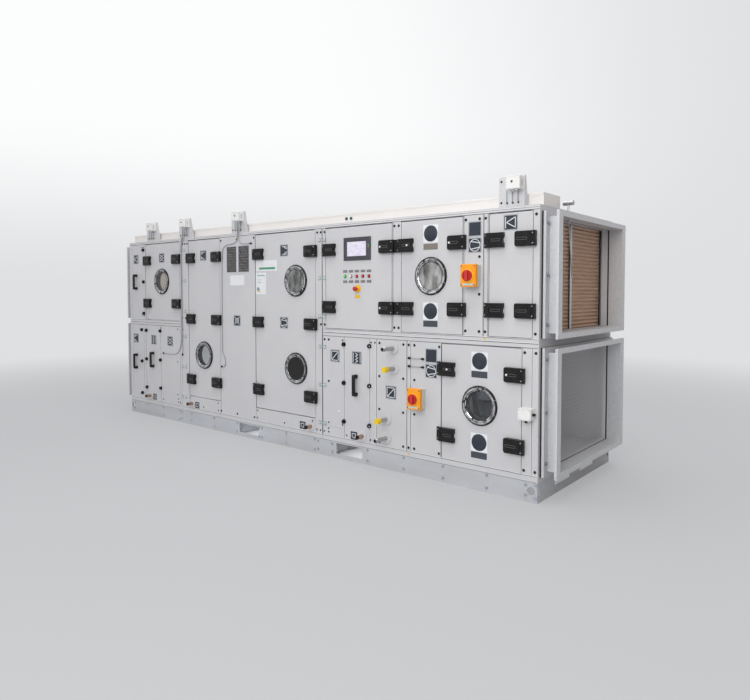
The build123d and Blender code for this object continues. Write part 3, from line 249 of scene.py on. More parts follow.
def shade(red, green, blue):
    """A colour from display values of 0 to 255, as the shader's linear numbers."""
    linear = []
    for value in (red, green, blue):
        value = value / 255
        linear.append(value / 12.92 if value <= 0.04045 else ((value + 0.055) / 1.055) ** 2.4)
    return (*linear, 1)


def inlet_of(finish, name):
    """An inlet of the finish's Principled shader."""
    return finish.node_tree.nodes["Principled BSDF"].inputs[name]


def new_finish(name, color, roughness, metallic=0.0):
    """A material of one plain colour, for the later steps to vary."""
    finish = bpy.data.materials.new(name)
    finish.use_nodes = True
    give(inlet_of(finish, "Base Color"), color)
    give(inlet_of(finish, "Roughness"), roughness)
    give(inlet_of(finish, "Metallic"), metallic)
    return finish


def dress(finish, *names):
    """Give a finish to CAD nodes, through their material slots."""
    for name in names:
        node = nodes[name]
        if node.material_slots:
            for slot in node.material_slots:
                slot.material = finish
        else:
            node.data.materials.append(finish)
        dressed.add(name)


print("mid grey is", round(shade(128, 128, 128)[0], 3), "to a shader")

# %% [markdown]
# ## Patterns
# Real surfaces are never one flat value. Each finish gets some of three things: a slow variation of the
# colour, a variation of the roughness, and a fine relief. All three read Object coordinates, which are metres
# on these nodes, so the grain has one true scale on every part. Writing the steps as small helpers keeps
# every finish to two or three lines.

# %% Colour patterns
def pattern_space(finish, stretch=(1, 1, 1)):
    """Object coordinates, stretched along an axis where the grain runs that way."""
    source = add_node(finish.node_tree, "ShaderNodeTexCoord").outputs["Object"]
    feeds = {"Vector": source, "Scale": stretch}
    return add_node(finish.node_tree, "ShaderNodeMapping", feeds).outputs["Vector"]


def mix_color(finish, share, color):
    """Lay a colour over the present one, as much as the share says."""
    inlet = inlet_of(finish, "Base Color")
    present = inlet.links[0].from_socket if inlet.links else tuple(inlet.default_value)
    give(inlet, blend(finish.node_tree, share, present, color))


def noise(finish, scale, detail=3.0, stretch=(1, 1, 1)):
    """Soft random values on Object coordinates; scale is blotches a metre."""
    feeds = {"Vector": pattern_space(finish, stretch), "Scale": scale, "Detail": detail}
    return add_node(finish.node_tree, "ShaderNodeTexNoise", feeds).outputs["Fac"]


def vary_color(finish, color, scale, strength, stretch=(1, 1, 1)):
    """Blotches of a second colour, at most this strong."""
    blotches = noise(finish, scale, 4.0, stretch)
    mix_color(finish, ramp(finish.node_tree, blotches, 0.35, 0.7, 0.0, strength), color)


print("colour patterns ready")

# %% Roughness and relief
def vary_roughness(finish, scale, low, high):
    """Roughness that drifts between two values."""
    give(inlet_of(finish, "Roughness"), ramp(finish.node_tree, noise(finish, scale), 0.3, 0.7, low, high))


def relief(finish, scale, height, strength, stretch=(1, 1, 1)):
    """Fine bumps of this height in metres."""
    feeds = {"Height": noise(finish, scale, 2.0, stretch), "Distance": height, "Strength": strength}
    give(inlet_of(finish, "Normal"), add_node(finish.node_tree, "ShaderNodeBump", feeds).outputs["Normal"])


def mottled(name, color, blotch, scale, strength, roughness, metallic=0.0, stretch=(1, 1, 1)):
    """A finish with blotches of a second colour, which is all that a small piece needs."""
    finish = new_finish(name, color, roughness, metallic)
    vary_color(finish, blotch, scale, strength, stretch)
    return finish


print("roughness and relief ready")

# %% [markdown]
# ## Powder-coated casing
# The casing is steel sheet with a light grey powder coat. Powder flows into a faint orange peel as it is
# baked, and handling leaves slightly glossier and duller areas. So the finish is a satin grey with a very
# weak, wide colour drift, a roughness that wanders a little, and a relief of about a tenth of a millimetre.
# The base frame is coated too, slightly bluer, and carries more dust low down.

# %% Casing and base finishes
casing_paint = mottled("casing_powder_coat", shade(199, 199, 202), shade(188, 189, 193), 1.1, 0.5, 0.4)
vary_color(casing_paint, shade(207, 206, 206), 6.0, 0.25)
vary_roughness(casing_paint, 2.5, 0.36, 0.5)
relief(casing_paint, 420, 0.00012, 0.35)
dress(
    casing_paint, "front_panels", "drip_covers", "frame_posts", "frame_rails", "roof_panels", "floor_panels",
    "mid_deck", "back_panels", "end_panels", "inner_walls", *doors,
)

base_paint = mottled("base_powder_coat", shade(190, 193, 199), shade(172, 174, 179), 3.0, 0.5, 0.45)
vary_color(base_paint, shade(160, 158, 154), 0.9, 0.35, (1, 1, 9))
vary_roughness(base_paint, 4.0, 0.4, 0.6)
relief(base_paint, 380, 0.00015, 0.4)
dress(base_paint, "base_side_rails", "base_end_rails", "base_cross_members")
print("casing nodes dressed")

# %% [markdown]
# ## Galvanised sheet
# Duct collars, brackets and the mounting plate are zinc-coated. Zinc freezes into crystals, called spangle, a
# centimetre or two across, each one reflecting a little differently. Voronoi cells give exactly that mosaic:
# the cell's random colour drives brightness and roughness together.

# %% Galvanised finishes
def galvanised(name, color, cells):
    """Zinc-coated sheet with spangle crystals."""
    finish = new_finish(name, color, 0.45, 0.3)
    feeds = {"Vector": pattern_space(finish), "Scale": cells}
    crystal = add_node(finish.node_tree, "ShaderNodeTexVoronoi", feeds)
    grey = add_node(finish.node_tree, "ShaderNodeRGBToBW", {0: crystal.outputs["Color"]}).outputs[0]
    darker = tuple(value * 0.9 for value in color[:3]) + (1,)
    mix_color(finish, ramp(finish.node_tree, grey, 0.2, 0.8, 0.0, 0.6), darker)
    give(inlet_of(finish, "Roughness"), ramp(finish.node_tree, grey, 0.2, 0.8, 0.42, 0.56))
    relief(finish, 30, 0.0002, 0.08)
    return finish


zinc_sheet = galvanised("galvanised_sheet", shade(206, 207, 210), 60)
dress(zinc_sheet, "right_collars", "left_collars", "filter_frame", "sensor_brackets")
dress(galvanised("mounting_plate_zinc", shade(200, 198, 192), 50), "mounting_plate")
print("galvanised sheet dressed")

# %% [markdown]
# ## Black mouldings, rubber and glass
# The hinge and latch pads are glass-filled nylon with a pebbled skin. Handling leaves them a little paler in
# patches. Gaskets are soft black rubber. The round windows are acrylic, a Principled shader that transmits
# light: some are clear, and on others light and dark streaks of painted reflection are laid into the colour.
# Both windows of door 3 are one node, and a band of heights gives its lower pane a dark painted shade, which
# stands for its unlit inside.

# %% Black finishes
pad_plastic = mottled("pebbled_black_nylon", shade(22, 21, 22), shade(44, 43, 43), 25, 0.45, 0.36)
vary_roughness(pad_plastic, 60, 0.28, 0.46)
give(inlet_of(pad_plastic, "Specular IOR Level"), 0.22)
relief(pad_plastic, 900, 0.0003, 0.45)
dress(pad_plastic, *(door + "_fittings" for door in doors), "hinge_leaves", "panel_handles", "tube_fittings")

seal_rubber = mottled("black_seal_rubber", shade(28, 28, 29), shade(48, 47, 46), 30, 0.5, 0.75)
relief(seal_rubber, 500, 0.0004, 0.4)
dress(seal_rubber, "collar_gaskets")
print("black finishes ready")

# %% Window finishes
# The heights between which door 3's lower pane is painted dark: painted shade of its unlit inside.
SHADE_PANE_LOW, SHADE_PANE_HIGH = 0.5, 1.1


def band(finish, axis, low, high):
    """One inside a slab between two heights of an axis, nought outside it."""
    source = add_node(finish.node_tree, "ShaderNodeTexCoord").outputs["Object"]
    parts = add_node(finish.node_tree, "ShaderNodeSeparateXYZ", {0: source})
    feeds = {0: parts.outputs[axis], 1: (low + high) / 2, 2: (high - low) / 2}
    return add_node(finish.node_tree, "ShaderNodeMath", feeds, operation="COMPARE").outputs[0]


def acrylic(name, tint, rough, clearness=1.0):
    """Clear sheet that lets light through, a little hazy with age."""
    finish = new_finish(name, tint, rough)
    give(inlet_of(finish, "Transmission Weight"), clearness)
    give(inlet_of(finish, "IOR"), 1.49)
    vary_roughness(finish, 14, rough * 0.5, rough * 1.8)
    return finish


dress(acrylic("window_acrylic", shade(214, 218, 218), 0.03), "lower_fan_door_glass", "door_2_glass")
dress(acrylic("smoked_acrylic", shade(172, 164, 154), 0.09), "door_1_glass")
# The fan door's window gets pale and dark blotches: painted reflection.
painted_reflection_acrylic = acrylic("painted_reflection_acrylic", shade(176, 176, 174), 0.14, 0.3)
vary_color(painted_reflection_acrylic, shade(236, 237, 236), 7, 1.0, (1.6, 1, 0.7))
vary_color(painted_reflection_acrylic, shade(70, 70, 70), 8, 1.0, (2.2, 1, 0.8))
dress(painted_reflection_acrylic, "fan_door_glass")
# Door 3's windows get pale and dark streaks: painted reflection.
reflection_and_shade_acrylic = acrylic("reflection_and_shade_acrylic", shade(150, 152, 150), 0.1, 0.55)
vary_color(reflection_and_shade_acrylic, shade(222, 224, 222), 9, 1.0, (1.8, 1, 0.6))
vary_color(reflection_and_shade_acrylic, shade(52, 52, 52), 7, 1.0, (2.4, 1, 0.9))
# The lower pane of door 3 is painted near black: painted shade.
mix_color(reflection_and_shade_acrylic, band(reflection_and_shade_acrylic, "Z", SHADE_PANE_LOW, SHADE_PANE_HIGH), shade(34, 34, 35))
dress(reflection_and_shade_acrylic, "door_3_glass")
print("windows dressed; door 3 has a dark pane between", SHADE_PANE_LOW, "and", SHADE_PANE_HIGH, "m")

# %% [markdown]
# ## Fans, filter, exchanger and pipes
# Behind the windows are painted motors and rolled fan wheels. The filter is corrugated brown paper: fibres
# run along its folds, so the noise is stretched along them. The exchanger block shows the edges of hundreds
# of thin aluminium plates, which a wave pattern draws as even dark lines. Pipes are brass and steel; where
# one node holds two materials, a band on Object coordinates tells them apart.

# %% Inner finishes
wheel_metal = mottled("rolled_fan_wheel", shade(150, 158, 168), shade(120, 128, 138), 12, 0.5, 0.38, 0.55)
vary_roughness(wheel_metal, 20, 0.3, 0.5)
relief(wheel_metal, 120, 0.0002, 0.3)
dress(wheel_metal, "upper_impeller", "lower_impeller")

motor_paint = mottled("motor_enamel", shade(84, 100, 128), shade(46, 54, 66), 9, 0.6, 0.4)
relief(motor_paint, 300, 0.0003, 0.4)
dress(motor_paint, "fan_sets")

filter_paper = new_finish("filter_paper", shade(206, 178, 158), 0.85)
vary_color(filter_paper, shade(176, 140, 118), 40, 0.7, (1, 0.15, 3))
vary_color(filter_paper, shade(222, 198, 178), 260, 0.35, (1, 0.1, 1))
relief(filter_paper, 700, 0.0006, 0.6, (1, 0.2, 1))
dress(filter_paper, "filter_media")

plate_edges = new_finish("exchanger_plate_edges", shade(176, 178, 180), 0.35, 0.9)
feeds = {"Vector": pattern_space(plate_edges), "Scale": 24}
edge_wave = add_node(
    plate_edges.node_tree, "ShaderNodeTexWave", feeds, bands_direction="Z", wave_profile="SAW"
)
mix_color(plate_edges, ramp(plate_edges.node_tree, edge_wave.outputs["Fac"], 0.6, 0.95), shade(58, 60, 62))
dress(plate_edges, "recovery_core")
print("inner finishes ready")

# %% Pipe finishes
INSIDE = -10
PLASTIC_GREY = shade(196, 196, 200)


def ahead(finish, near, far):
    """One between two distances in front of the casing, in millimetres; inside it they are below nought."""
    return band(finish, "Y", front - far * MM, front - near * MM)


def bare_metal(finish, coated, metallic):
    """Metal everywhere but where a share says that a disc or a cap covers it."""
    give(inlet_of(finish, "Metallic"), ramp(finish.node_tree, coated, 0.0, 1.0, metallic, 0.0))


pipe_metal = mottled("pipe_steel_and_brass", shade(188, 186, 182), shade(140, 134, 128), 40, 0.5, 0.3, 0.85)
vary_roughness(pipe_metal, 60, 0.22, 0.45)
rosette_skin = ahead(pipe_metal, INSIDE, 9.5)
mix_color(pipe_metal, rosette_skin, PLASTIC_GREY)
cap_reach, cap_height = ahead(pipe_metal, 97, 150), band(pipe_metal, "Z", 0.38, 0.9)
cap_zone = reckon(pipe_metal.node_tree, "MULTIPLY", cap_reach, cap_height)
mix_color(pipe_metal, cap_zone, shade(232, 196, 20))
bare_metal(pipe_metal, reckon(pipe_metal.node_tree, "MAXIMUM", rosette_skin, cap_zone), 0.9)
dress(pipe_metal, "pipe_stubs")

drain_metal = mottled("drain_copper", shade(186, 160, 142), shade(132, 104, 88), 50, 0.5, 0.32, 0.8)
drain_disc = ahead(drain_metal, INSIDE, 5.5)
mix_color(drain_metal, drain_disc, shade(198, 198, 201))
bare_metal(drain_metal, drain_disc, 0.85)
dress(drain_metal, "drain_stubs")
dress(mottled("probe_steel", shade(180, 180, 182), shade(120, 120, 122), 60, 0.5, 0.3, 0.9), "duct_probe")
print("pipes, drains and probe dressed")

# %% Box, trunking and tube finishes
trunking_cream = mottled("trunking_cream", shade(229, 226, 224), shade(218, 214, 208), 2.0, 0.5, 0.4)
relief(trunking_cream, 260, 0.00015, 0.3)
dress(trunking_cream, "cable_trunking")
box_plastic = mottled("box_light_plastic", shade(230, 230, 229), shade(218, 216, 212), 18, 0.4, 0.42)
relief(box_plastic, 500, 0.00015, 0.3)
dress(box_plastic, "instrument_boxes")
dress(mottled("grey_tube", shade(166, 166, 170), shade(140, 140, 146), 20, 0.5, 0.3), "measuring_tubes")
print("boxes, trunking and tubes dressed")

# %% [markdown]
# ## Operator parts
# The display is a dark frame with a pale lilac screen. The isolators are grey boxes with an orange cover, and
# their handles and the stop button are red. One CAD node can hold several of these colours, and a band at a
# known distance in front of the casing splits them cleanly, because the seam is a real edge of the shape. The
# lamps stand in one row: bands across it make the first two green and white, and the others stay red.

# %% Operator finishes
LAMP_WIDTH = 30 * MM
LAMP_HALF_PITCH = 20 * MM
frame_dark = mottled("display_frame", shade(62, 64, 70), shade(80, 82, 88), 30, 0.4, 0.35)
relief(frame_dark, 600, 0.0002, 0.3)
dress(frame_dark, "display")

lamp_low, lamp_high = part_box("lamps")
lamp_pitch = (lamp_high.x - lamp_low.x - LAMP_WIDTH) / 4
lamp_centres = [lamp_low.x + LAMP_WIDTH / 2 + index * lamp_pitch for index in range(5)]
lamp_lens = mottled("lamp_lenses", shade(196, 40, 34), shade(150, 24, 20), 60, 0.5, 0.18)
for centre, color in zip(lamp_centres, (shade(70, 214, 90), shade(226, 222, 214))):
    mix_color(lamp_lens, band(lamp_lens, "X", centre - LAMP_HALF_PITCH, centre + LAMP_HALF_PITCH), color)
mix_color(lamp_lens, ahead(lamp_lens, INSIDE, 6.4), shade(44, 44, 46))
dress(lamp_lens, "lamps")

stop_yellow = mottled("stop_yellow", shade(236, 190, 30), shade(214, 164, 20), 40, 0.4, 0.35)
dress(stop_yellow, "stop_base")
signal_red = mottled("signal_red", shade(200, 30, 24), shade(168, 20, 18), 50, 0.4, 0.3)
relief(signal_red, 400, 0.0001, 0.3)
dress(signal_red, "stop_button", "upper_isolator_handle", "lower_isolator_handle")

isolator_skin = mottled("isolator_cover", shade(246, 158, 26), shade(232, 138, 16), 20, 0.4, 0.38)
relief(isolator_skin, 500, 0.00015, 0.3)
mix_color(isolator_skin, ahead(isolator_skin, INSIDE, 52.1), shade(206, 204, 200))
mix_color(isolator_skin, ahead(isolator_skin, 80.5, 90), shade(250, 200, 20))
dress(isolator_skin, "isolator_bodies")
mesh_zinc = mottled("mesh_zinc", shade(196, 196, 196), shade(150, 150, 152), 200, 0.5, 0.4, 0.8)
dress(mesh_zinc, "mesh_guard")
print("nodes without a finish:", sorted(set(nodes) - dressed))

# %% [markdown]
# ## Tools for the small pieces
# The CAD stops at the shapes that a builder would machine or fold. Screws, rings, plates and clips are added
# here, with their sizes in millimetres. Three shapes make nearly all of them: an outline spun about an axis,
# a box with rounded edges, and a flat stroke for a painted line. A fourth tool looks along a ray to find
# which panel lies behind a place on the front, so each screw sits on real metal and rides with the door that
# it is screwed to.

# %% Places on the unit
carriers = {}
for body, carried in frame["record"]["behaviour"]["bodies"].items():
    for name in carried:
        carriers[name] = body
front_skins = ["front_panels", "drip_covers", "frame_posts", "frame_rails", "base_side_rails", *doors]
back_skins = ["back_panels", "frame_posts", "frame_rails", "base_side_rails"]
RAY_START, RAY_LENGTH = 0.3, 0.5


def at(left, height, y=front):
    """A place so many millimetres left of the right end and above the floor; y is in metres."""
    return Vector((right_end - left * MM, y, height * MM))


def shift(across=0, off=0, up=0):
    """A move in millimetres: across to the right, off towards the viewer, and up."""
    return Vector((across * MM, -off * MM, up * MM))


def search_tree(name):
    """A tree that finds where a ray meets this CAD node."""
    mesh = nodes[name].data
    corners = [corner.co for corner in mesh.vertices]
    return BVHTree.FromPolygons(corners, [face.vertices for face in mesh.polygons])


trees = {name: search_tree(name) for name in front_skins + back_skins}


def on_skin(left, height, names=front_skins, inward=1):
    """The place on the sheet metal in front of or behind such a place, and the body that carries it."""
    start = at(left, height, (front - RAY_START) * inward)
    best, owner = None, None
    for name in names:
        place = trees[name].ray_cast(start, Vector((0, inward, 0)), RAY_LENGTH)[0]
        if place is not None and (best is None or inward * (place.y - best.y) < 0):
            best, owner = place, name
    if best is None:
        best, owner = at(left, height, front * inward), names[0]
    return best, carriers[owner]


place, body = on_skin(470, 1728)
print("a screw at 470, 1728 sits at", tuple(round(value, 4) for value in place), "on", body)

# %% Spun outlines and blocks
def turn(mesh, middle, outline, about=(0, -1, 0), steps=16):
    """Spin an outline of (radius, reach) pairs in millimetres; reach runs from the middle along the axis."""
    axis = Vector(about).normalized()
    side = axis.orthogonal().normalized()
    corners = [side * (radius * MM) + axis * (reach * MM) for radius, reach in outline]
    points = [mesh.verts.new(middle + corner) for corner in corners]
    lines = [mesh.edges.new(pair) for pair in zip(points, points[1:])]
    bmesh.ops.spin(
        mesh, geom=points + lines, cent=middle, axis=axis, angle=math.tau, steps=steps, use_merge=True
    )


def block(mesh, low, high, rounding=0, segments=1):
    """A box between two corners in metres, its edges rounded."""
    low, high = Vector(low), Vector(high)
    corners = bmesh.ops.create_cube(mesh, size=1)["verts"]
    bmesh.ops.scale(mesh, verts=corners, vec=high - low)
    bmesh.ops.translate(mesh, verts=corners, vec=(low + high) / 2)
    if rounding:
        edges = list({edge for corner in corners for edge in corner.link_edges})
        bmesh.ops.bevel(
            mesh, geom=edges, offset=rounding * MM, segments=segments, affect="EDGES", profile=0.5,
            material=-1,
        )


def bar(mesh, low, wide, deep, tall, rounding=0, segments=1):
    """A box of this size whose low corner is at a place."""
    block(mesh, low, low + Vector((wide, deep, tall)) * MM, rounding, segments)


print("spun outlines and blocks ready")

# %% Plates and strokes
def panel(mesh, place, width, tall, thick, rounding=0, segments=1):
    """A plate centred on a place of the front, standing this thick off it."""
    half = shift(across=width / 2, up=tall / 2)
    block(mesh, place - half + shift(off=thick), place + half, rounding, segments)


def stroke(mesh, place, start, end, width, thick):
    """A flat line from one (across, up) point to another about a place on the front."""
    across, up = end[0] - start[0], end[1] - start[1]
    corners = bmesh.ops.create_cube(mesh, size=1)["verts"]
    bmesh.ops.scale(mesh, verts=corners, vec=Vector((math.hypot(across, up) + width, thick, width)) * MM)
    slope = Matrix.Rotation(-math.atan2(up, across), 3, "Y")
    bmesh.ops.rotate(mesh, verts=corners, cent=(0, 0, 0), matrix=slope)
    middle = shift((start[0] + end[0]) / 2, thick / 2, (start[1] + end[1]) / 2)
    bmesh.ops.translate(mesh, verts=corners, vec=place + middle)


print("plates and strokes ready")

# %% Pieces
def clean(mesh, name):
    """A shape with its doubles merged and its faces outwards, as mesh data."""
    bmesh.ops.remove_doubles(mesh, verts=mesh.verts, dist=1e-6)
    bmesh.ops.recalc_face_normals(mesh, faces=mesh.faces)
    data = bpy.data.meshes.new(name)
    mesh.to_mesh(data)
    mesh.free()
    return data


def piece(name, mesh, finish, body, crease=32):
    """Close and smooth a shape, give it its finish and let it ride on a body."""
    data = clean(mesh, name)
    data.shade_smooth()
    data.set_sharp_from_angle(angle=math.radians(crease))
    data.materials.append(finish)
    thing = bpy.data.objects.new(name, data)
    scene.collection.objects.link(thing)
    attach(thing, body)
    print(name, "on", body, "has", len(data.polygons), "faces")
    return thing


print("pieces can ride on", sorted(set(carriers.values())))

# %% Copies of one shape
def template_of(outline, about=(0, -1, 0), steps=12):
    """A mesh of one spun outline at the origin, for scattering."""
    mesh = bmesh.new()
    turn(mesh, Vector(), outline, about, steps)
    return clean(mesh, "template")


def scatter(name, template, places, finish):
    """Copies of a template, one piece for each body that carries some of the places."""
    shapes = {}
    for place, body in places:
        mesh = shapes.setdefault(body, bmesh.new())
        before = len(mesh.verts)
        mesh.from_mesh(template)
        mesh.verts.ensure_lookup_table()
        bmesh.ops.translate(mesh, verts=mesh.verts[before:], vec=place)
    for body, mesh in shapes.items():
        piece(name if body == "casing" else name + "_" + body, mesh, finish, body)


def carried_by(body, places):
    """Each place, paired with the one body that carries them all."""
    return [(place, body) for place in places]


print("copying tools ready")

# %% [markdown]
# ## Panel screws
# The fixed panels are held by black button-head screws 22 mm across, in rows near the top and bottom of each
# level and in pairs on the posts. One head is an outline spun in twelve steps, with a hollow for the key. It
# is copied to every place, and the ray tool sets how far out each one sits. The narrow drip covers have a
# smaller head. Every place is read off the photograph as (distance left of the right end, height).

# %% Screw heads
screw_black = mottled("black_oxide_screw", shade(30, 31, 34), shade(58, 58, 62), 160, 0.6, 0.38, 0.35)
vary_roughness(screw_black, 200, 0.3, 0.5)
relief(screw_black, 900, 0.0002, 0.3)
button_head = template_of([(0, 1.6), (4, 1.6), (5, 4.8), (9, 4.0), (11, 1.2), (11, 0), (0, 0)])
small_head = template_of([(0, 1.2), (2.8, 1.2), (3.5, 3.4), (6.6, 2.8), (8, 0.8), (8, 0), (0, 0)], steps=10)
print("a head has", len(button_head.polygons), "faces")

# %% Panel screws
upper_row = [26, 419, 469, 585, 1211, 1254, 2041, 2088, 4148, 4191]
lower_row = [20, 104, 816, 1052, 1108, 1162, 1409]
screw_places = [(left, height) for left in upper_row for height in (2003, 1180)]
screw_places += [(left, height) for left in lower_row for height in (1047, 218)]
screw_places += [(469, 1728), (469, 1453), (1052, 770), (1052, 495), (1163, 770), (1163, 495), (1411, 771)]
screw_places += [(1412, 495), (1992, 1048), (2043, 1048), (1992, 678), (4235, 2004), (2131, 2004)]
screw_places += [(3012, 2006), (3282, 2004), (3543, 2004), (3020, 221), (3291, 221), (3557, 220)]
small_places = [(1458, 1047), (1501, 1047), (1824, 1049), (1507, 220), (1778, 220), (1995, 306), (1995, 253)]
small_places += [(1995, 221), (1826, 305), (2198, 293), (2579, 222), (2971, 295), (2972, 223), (2142, 222)]
small_places += [(2097, 220), (2051, 220), (4123, 298), (3871, 221), (3613, 294), (3611, 219), (4350, 1051)]
small_places += [(4357, 681), (4360, 307), (4349, 255), (4350, 221), (4307, 219), (4655, 225), (4688, 1051)]
small_places += [(4248, 1052), (4249, 1186), (5085, 2004), (5046, 2004), (5089, 1186), (5042, 1187)]
small_places += [(2043, 1182)]
on_panels = [on_skin(*place) for place in screw_places]
on_covers = [on_skin(*place) for place in small_places]
scatter("panel_screws", button_head, on_panels, screw_black)
scatter("cover_screws", small_head, on_covers, screw_black)

# %% Screws of the back panels
back_row = [70 + step * 470 for step in range(5)] + [2130, 2690, 3250, 3810, 4140, 4330, 4760, 5295]
back_heights = (1990, 1195, 1030, 232)
back_places = [on_skin(left, height, back_skins, -1) for left in back_row for height in back_heights]
back_head = template_of([(0, 0.8), (4, 0.8), (5, 2.4), (9, 2.0), (11, 0.8), (11, 0), (0, 0)], (0, 1, 0))
scatter("back_screws", back_head, back_places, screw_black)

# %% [markdown]
# ## Base bolts
# The base frame is bolted with zinc-plated hexagon heads on round washers, two to a column. The back of the
# frame has the same bolts as the front, with lower heads, so that they stand less than three millimetres past
# the box of the CAD model. A hexagon is an outline spun in six steps.

# %% Base bolts
bolt_zinc = mottled("zinc_bolt", shade(186, 196, 206), shade(140, 150, 160), 150, 0.6, 0.3, 0.85)
vary_roughness(bolt_zinc, 180, 0.22, 0.45)
bolt_columns = [14, 398, 780, 1159, 1541, 2172, 2553, 2907, 2951, 3296, 3684, 4323, 4658, 4997]
close_columns = [89, 1954, 2129, 4096, 4277, 5286]
bolt_spots = [(left, height) for left in bolt_columns for height in (128, 36)]
bolt_spots += [(left, height) for left in close_columns for height in (120, 48)]
for side, skins, inward, tall in (("front", front_skins, 1, 6.5), ("back", back_skins, -1, 2.8)):
    facing = (0, -inward, 0)
    hexagon = template_of([(0, tall), (7.5, tall), (9.4, tall - 0.9), (9.4, 1.2), (0, 1.2)], facing, 6)
    washer = template_of([(0, 1.5), (12.5, 1.5), (13, 1.0), (13, 0), (0, 0)], facing, 12)
    spots = [on_skin(left, height, skins, inward) for left, height in bolt_spots]
    scatter("base_bolts_" + side, hexagon, spots, bolt_zinc)
    scatter("base_washers_" + side, washer, spots, bolt_zinc)

# %% [markdown]
# ## Hinge and latch pads
# Each pad carries two bright screws near its fixed edge and a raised keyway along its middle, which is a slot
# with round ends. On the hinge side the screws sit on the low half that is fixed to the frame. Some of the
# pads also have a small white lock dot. The pads sit at the same distances from the edges of every door, so
# their places are worked out from the boxes of the doors. The keyway is a rectangle whose corners are
# bevelled until its ends are round; inset makes its rim and extrude lifts it.

# %% Where the pads are
DOOR_GAP = 6.5 * MM
OVERHANG = 28 * MM
PAD_INSET = 195 * MM
PAD_FACE = front - 35 * MM
LEAF_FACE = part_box("hinge_leaves")[0].y + 16.5 * MM
TALL_DOOR = 1.5


def pad_heights(door):
    """The heights of the pads of a door: near both ends, and in the middle of a tall one."""
    low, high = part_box(door)
    heights = [low.z - DOOR_GAP + PAD_INSET, high.z + DOOR_GAP - PAD_INSET]
    if high.z - low.z > TALL_DOOR:
        heights.append(sum(heights) / 2)
    return heights


print("pads of door 3 at", [round(height, 3) for height in pad_heights("door_3")], "m")

# %% Keyway
def keyway(mesh, middle, length, width=20, rise=1.6):
    """A raised rim in the shape of a slot with round ends."""
    rim = bmesh.new()
    sides = ((-1, -1), (1, -1), (1, 1), (-1, 1))
    corners = [rim.verts.new(middle + shift(side * length / 2, 0, up * width / 2)) for side, up in sides]
    rim.faces.new(corners)
    bmesh.ops.bevel(
        rim, geom=corners, offset=width * 0.49 * MM, segments=4, affect="VERTICES", profile=0.5, material=-1
    )
    rim_faces = bmesh.ops.inset_region(
        rim, faces=rim.faces[:], thickness=width * 0.2 * MM, use_boundary=True, use_even_offset=True
    )["faces"]
    bmesh.ops.delete(rim, geom=[face for face in rim.faces if face not in rim_faces], context="FACES")
    lifted = bmesh.ops.extrude_face_region(rim, geom=rim.faces[:])["geom"]
    top = [part for part in lifted if isinstance(part, bmesh.types.BMVert)]
    bmesh.ops.translate(rim, verts=top, vec=shift(off=rise))
    bmesh.ops.recalc_face_normals(rim, faces=rim.faces)
    shape = bpy.data.meshes.new("keyway")
    rim.to_mesh(shape)
    rim.free()
    mesh.from_mesh(shape)


print("keyway ready")

# %% Pad screws and keyways
pad_screw_zinc = mottled("pad_screw_zinc", shade(214, 214, 216), shade(160, 160, 164), 240, 0.5, 0.22, 0.9)
# The keyway rims are grey, lighter than the black pads: a painted highlight.
keyway_highlight = mottled("keyway_highlight", shade(84, 80, 80), shade(52, 50, 50), 60, 0.6, 0.3)
pad_screws, keyways = [], {}
for door in doors:
    low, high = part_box(door)
    hinge_edge, latch_edge = low.x - OVERHANG, high.x + OVERHANG
    keyways[door] = bmesh.new()
    for height in pad_heights(door):
        hinge, latch = Vector((hinge_edge, PAD_FACE, height)), Vector((latch_edge, PAD_FACE, height))
        leaf = Vector((hinge_edge, LEAF_FACE, height))
        for rise in (-35, 35):
            pad_screws.append((leaf + shift(3, 0, rise), "casing"))
            pad_screws.append((latch + shift(-12, 0, rise), carriers[door]))
        keyway(keyways[door], latch + shift(-92), 84)
        keyway(keyways[door], hinge + shift(96), 78)
pad_head = template_of([(0, 1.0), (1.6, 1.0), (2.2, 1.8), (4.2, 1.4), (5, 0), (0, 0)], steps=10)
scatter("pad_screws", pad_head, pad_screws, pad_screw_zinc)
for door, ways in keyways.items():
    piece("keyways_" + door, ways, keyway_highlight, carriers[door])

# %% Lock dots
dot_white = mottled("lock_dot_white", shade(232, 234, 236), shade(206, 208, 212), 120, 0.4, 0.3)
dot_cap = template_of([(0, 2.6), (6, 2.4), (8, 1.4), (8.6, 0), (0, 0)], steps=14)
cabinet_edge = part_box("cabinet_door")[1].x
dot_spots = [
    (Vector((cabinet_edge, PAD_FACE, height)) + shift(-100), "cabinet_door_leaf")
    for height in pad_heights("cabinet_door")
]
for door, from_hinge, from_latch in (("fan_door", 78, -100), ("lower_fan_door", 66, -98)):
    for edge, across in zip(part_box(door), (from_hinge, from_latch)):
        place = Vector((edge.x, PAD_FACE, max(pad_heights(door))))
        dot_spots.append((place + shift(across), carriers[door]))
dot_spots.append(on_skin(1872, 422))
scatter("lock_dots", dot_cap, dot_spots, dot_white)

# %% [markdown]
# ## Sight glasses
# Every window sits in a black moulding with a bright bevelled ring inside it. The ring is one outline, spun
# about the axis of the window: a narrow flat, a step and a slope towards the glass. Chrome has hardly any
# colour of its own, so the finish is nearly white metal, with the dark patches that it mirrors laid on as
# noise. Eight small studs stand round the ring.

# %% Ring finishes
chrome = mottled("bright_ring", shade(228, 229, 231), shade(96, 97, 100), 22, 0.85, 0.12, 1.0)
mix_color(chrome, ramp(chrome.node_tree, noise(chrome, 34), 0.58, 0.64), shade(26, 26, 28))
vary_roughness(chrome, 24, 0.06, 0.26)
ring_black = mottled("gloss_black_ring", shade(24, 24, 25), shade(60, 60, 62), 14, 0.4, 0.2)
vary_roughness(ring_black, 18, 0.12, 0.3)
print("ring finishes ready")

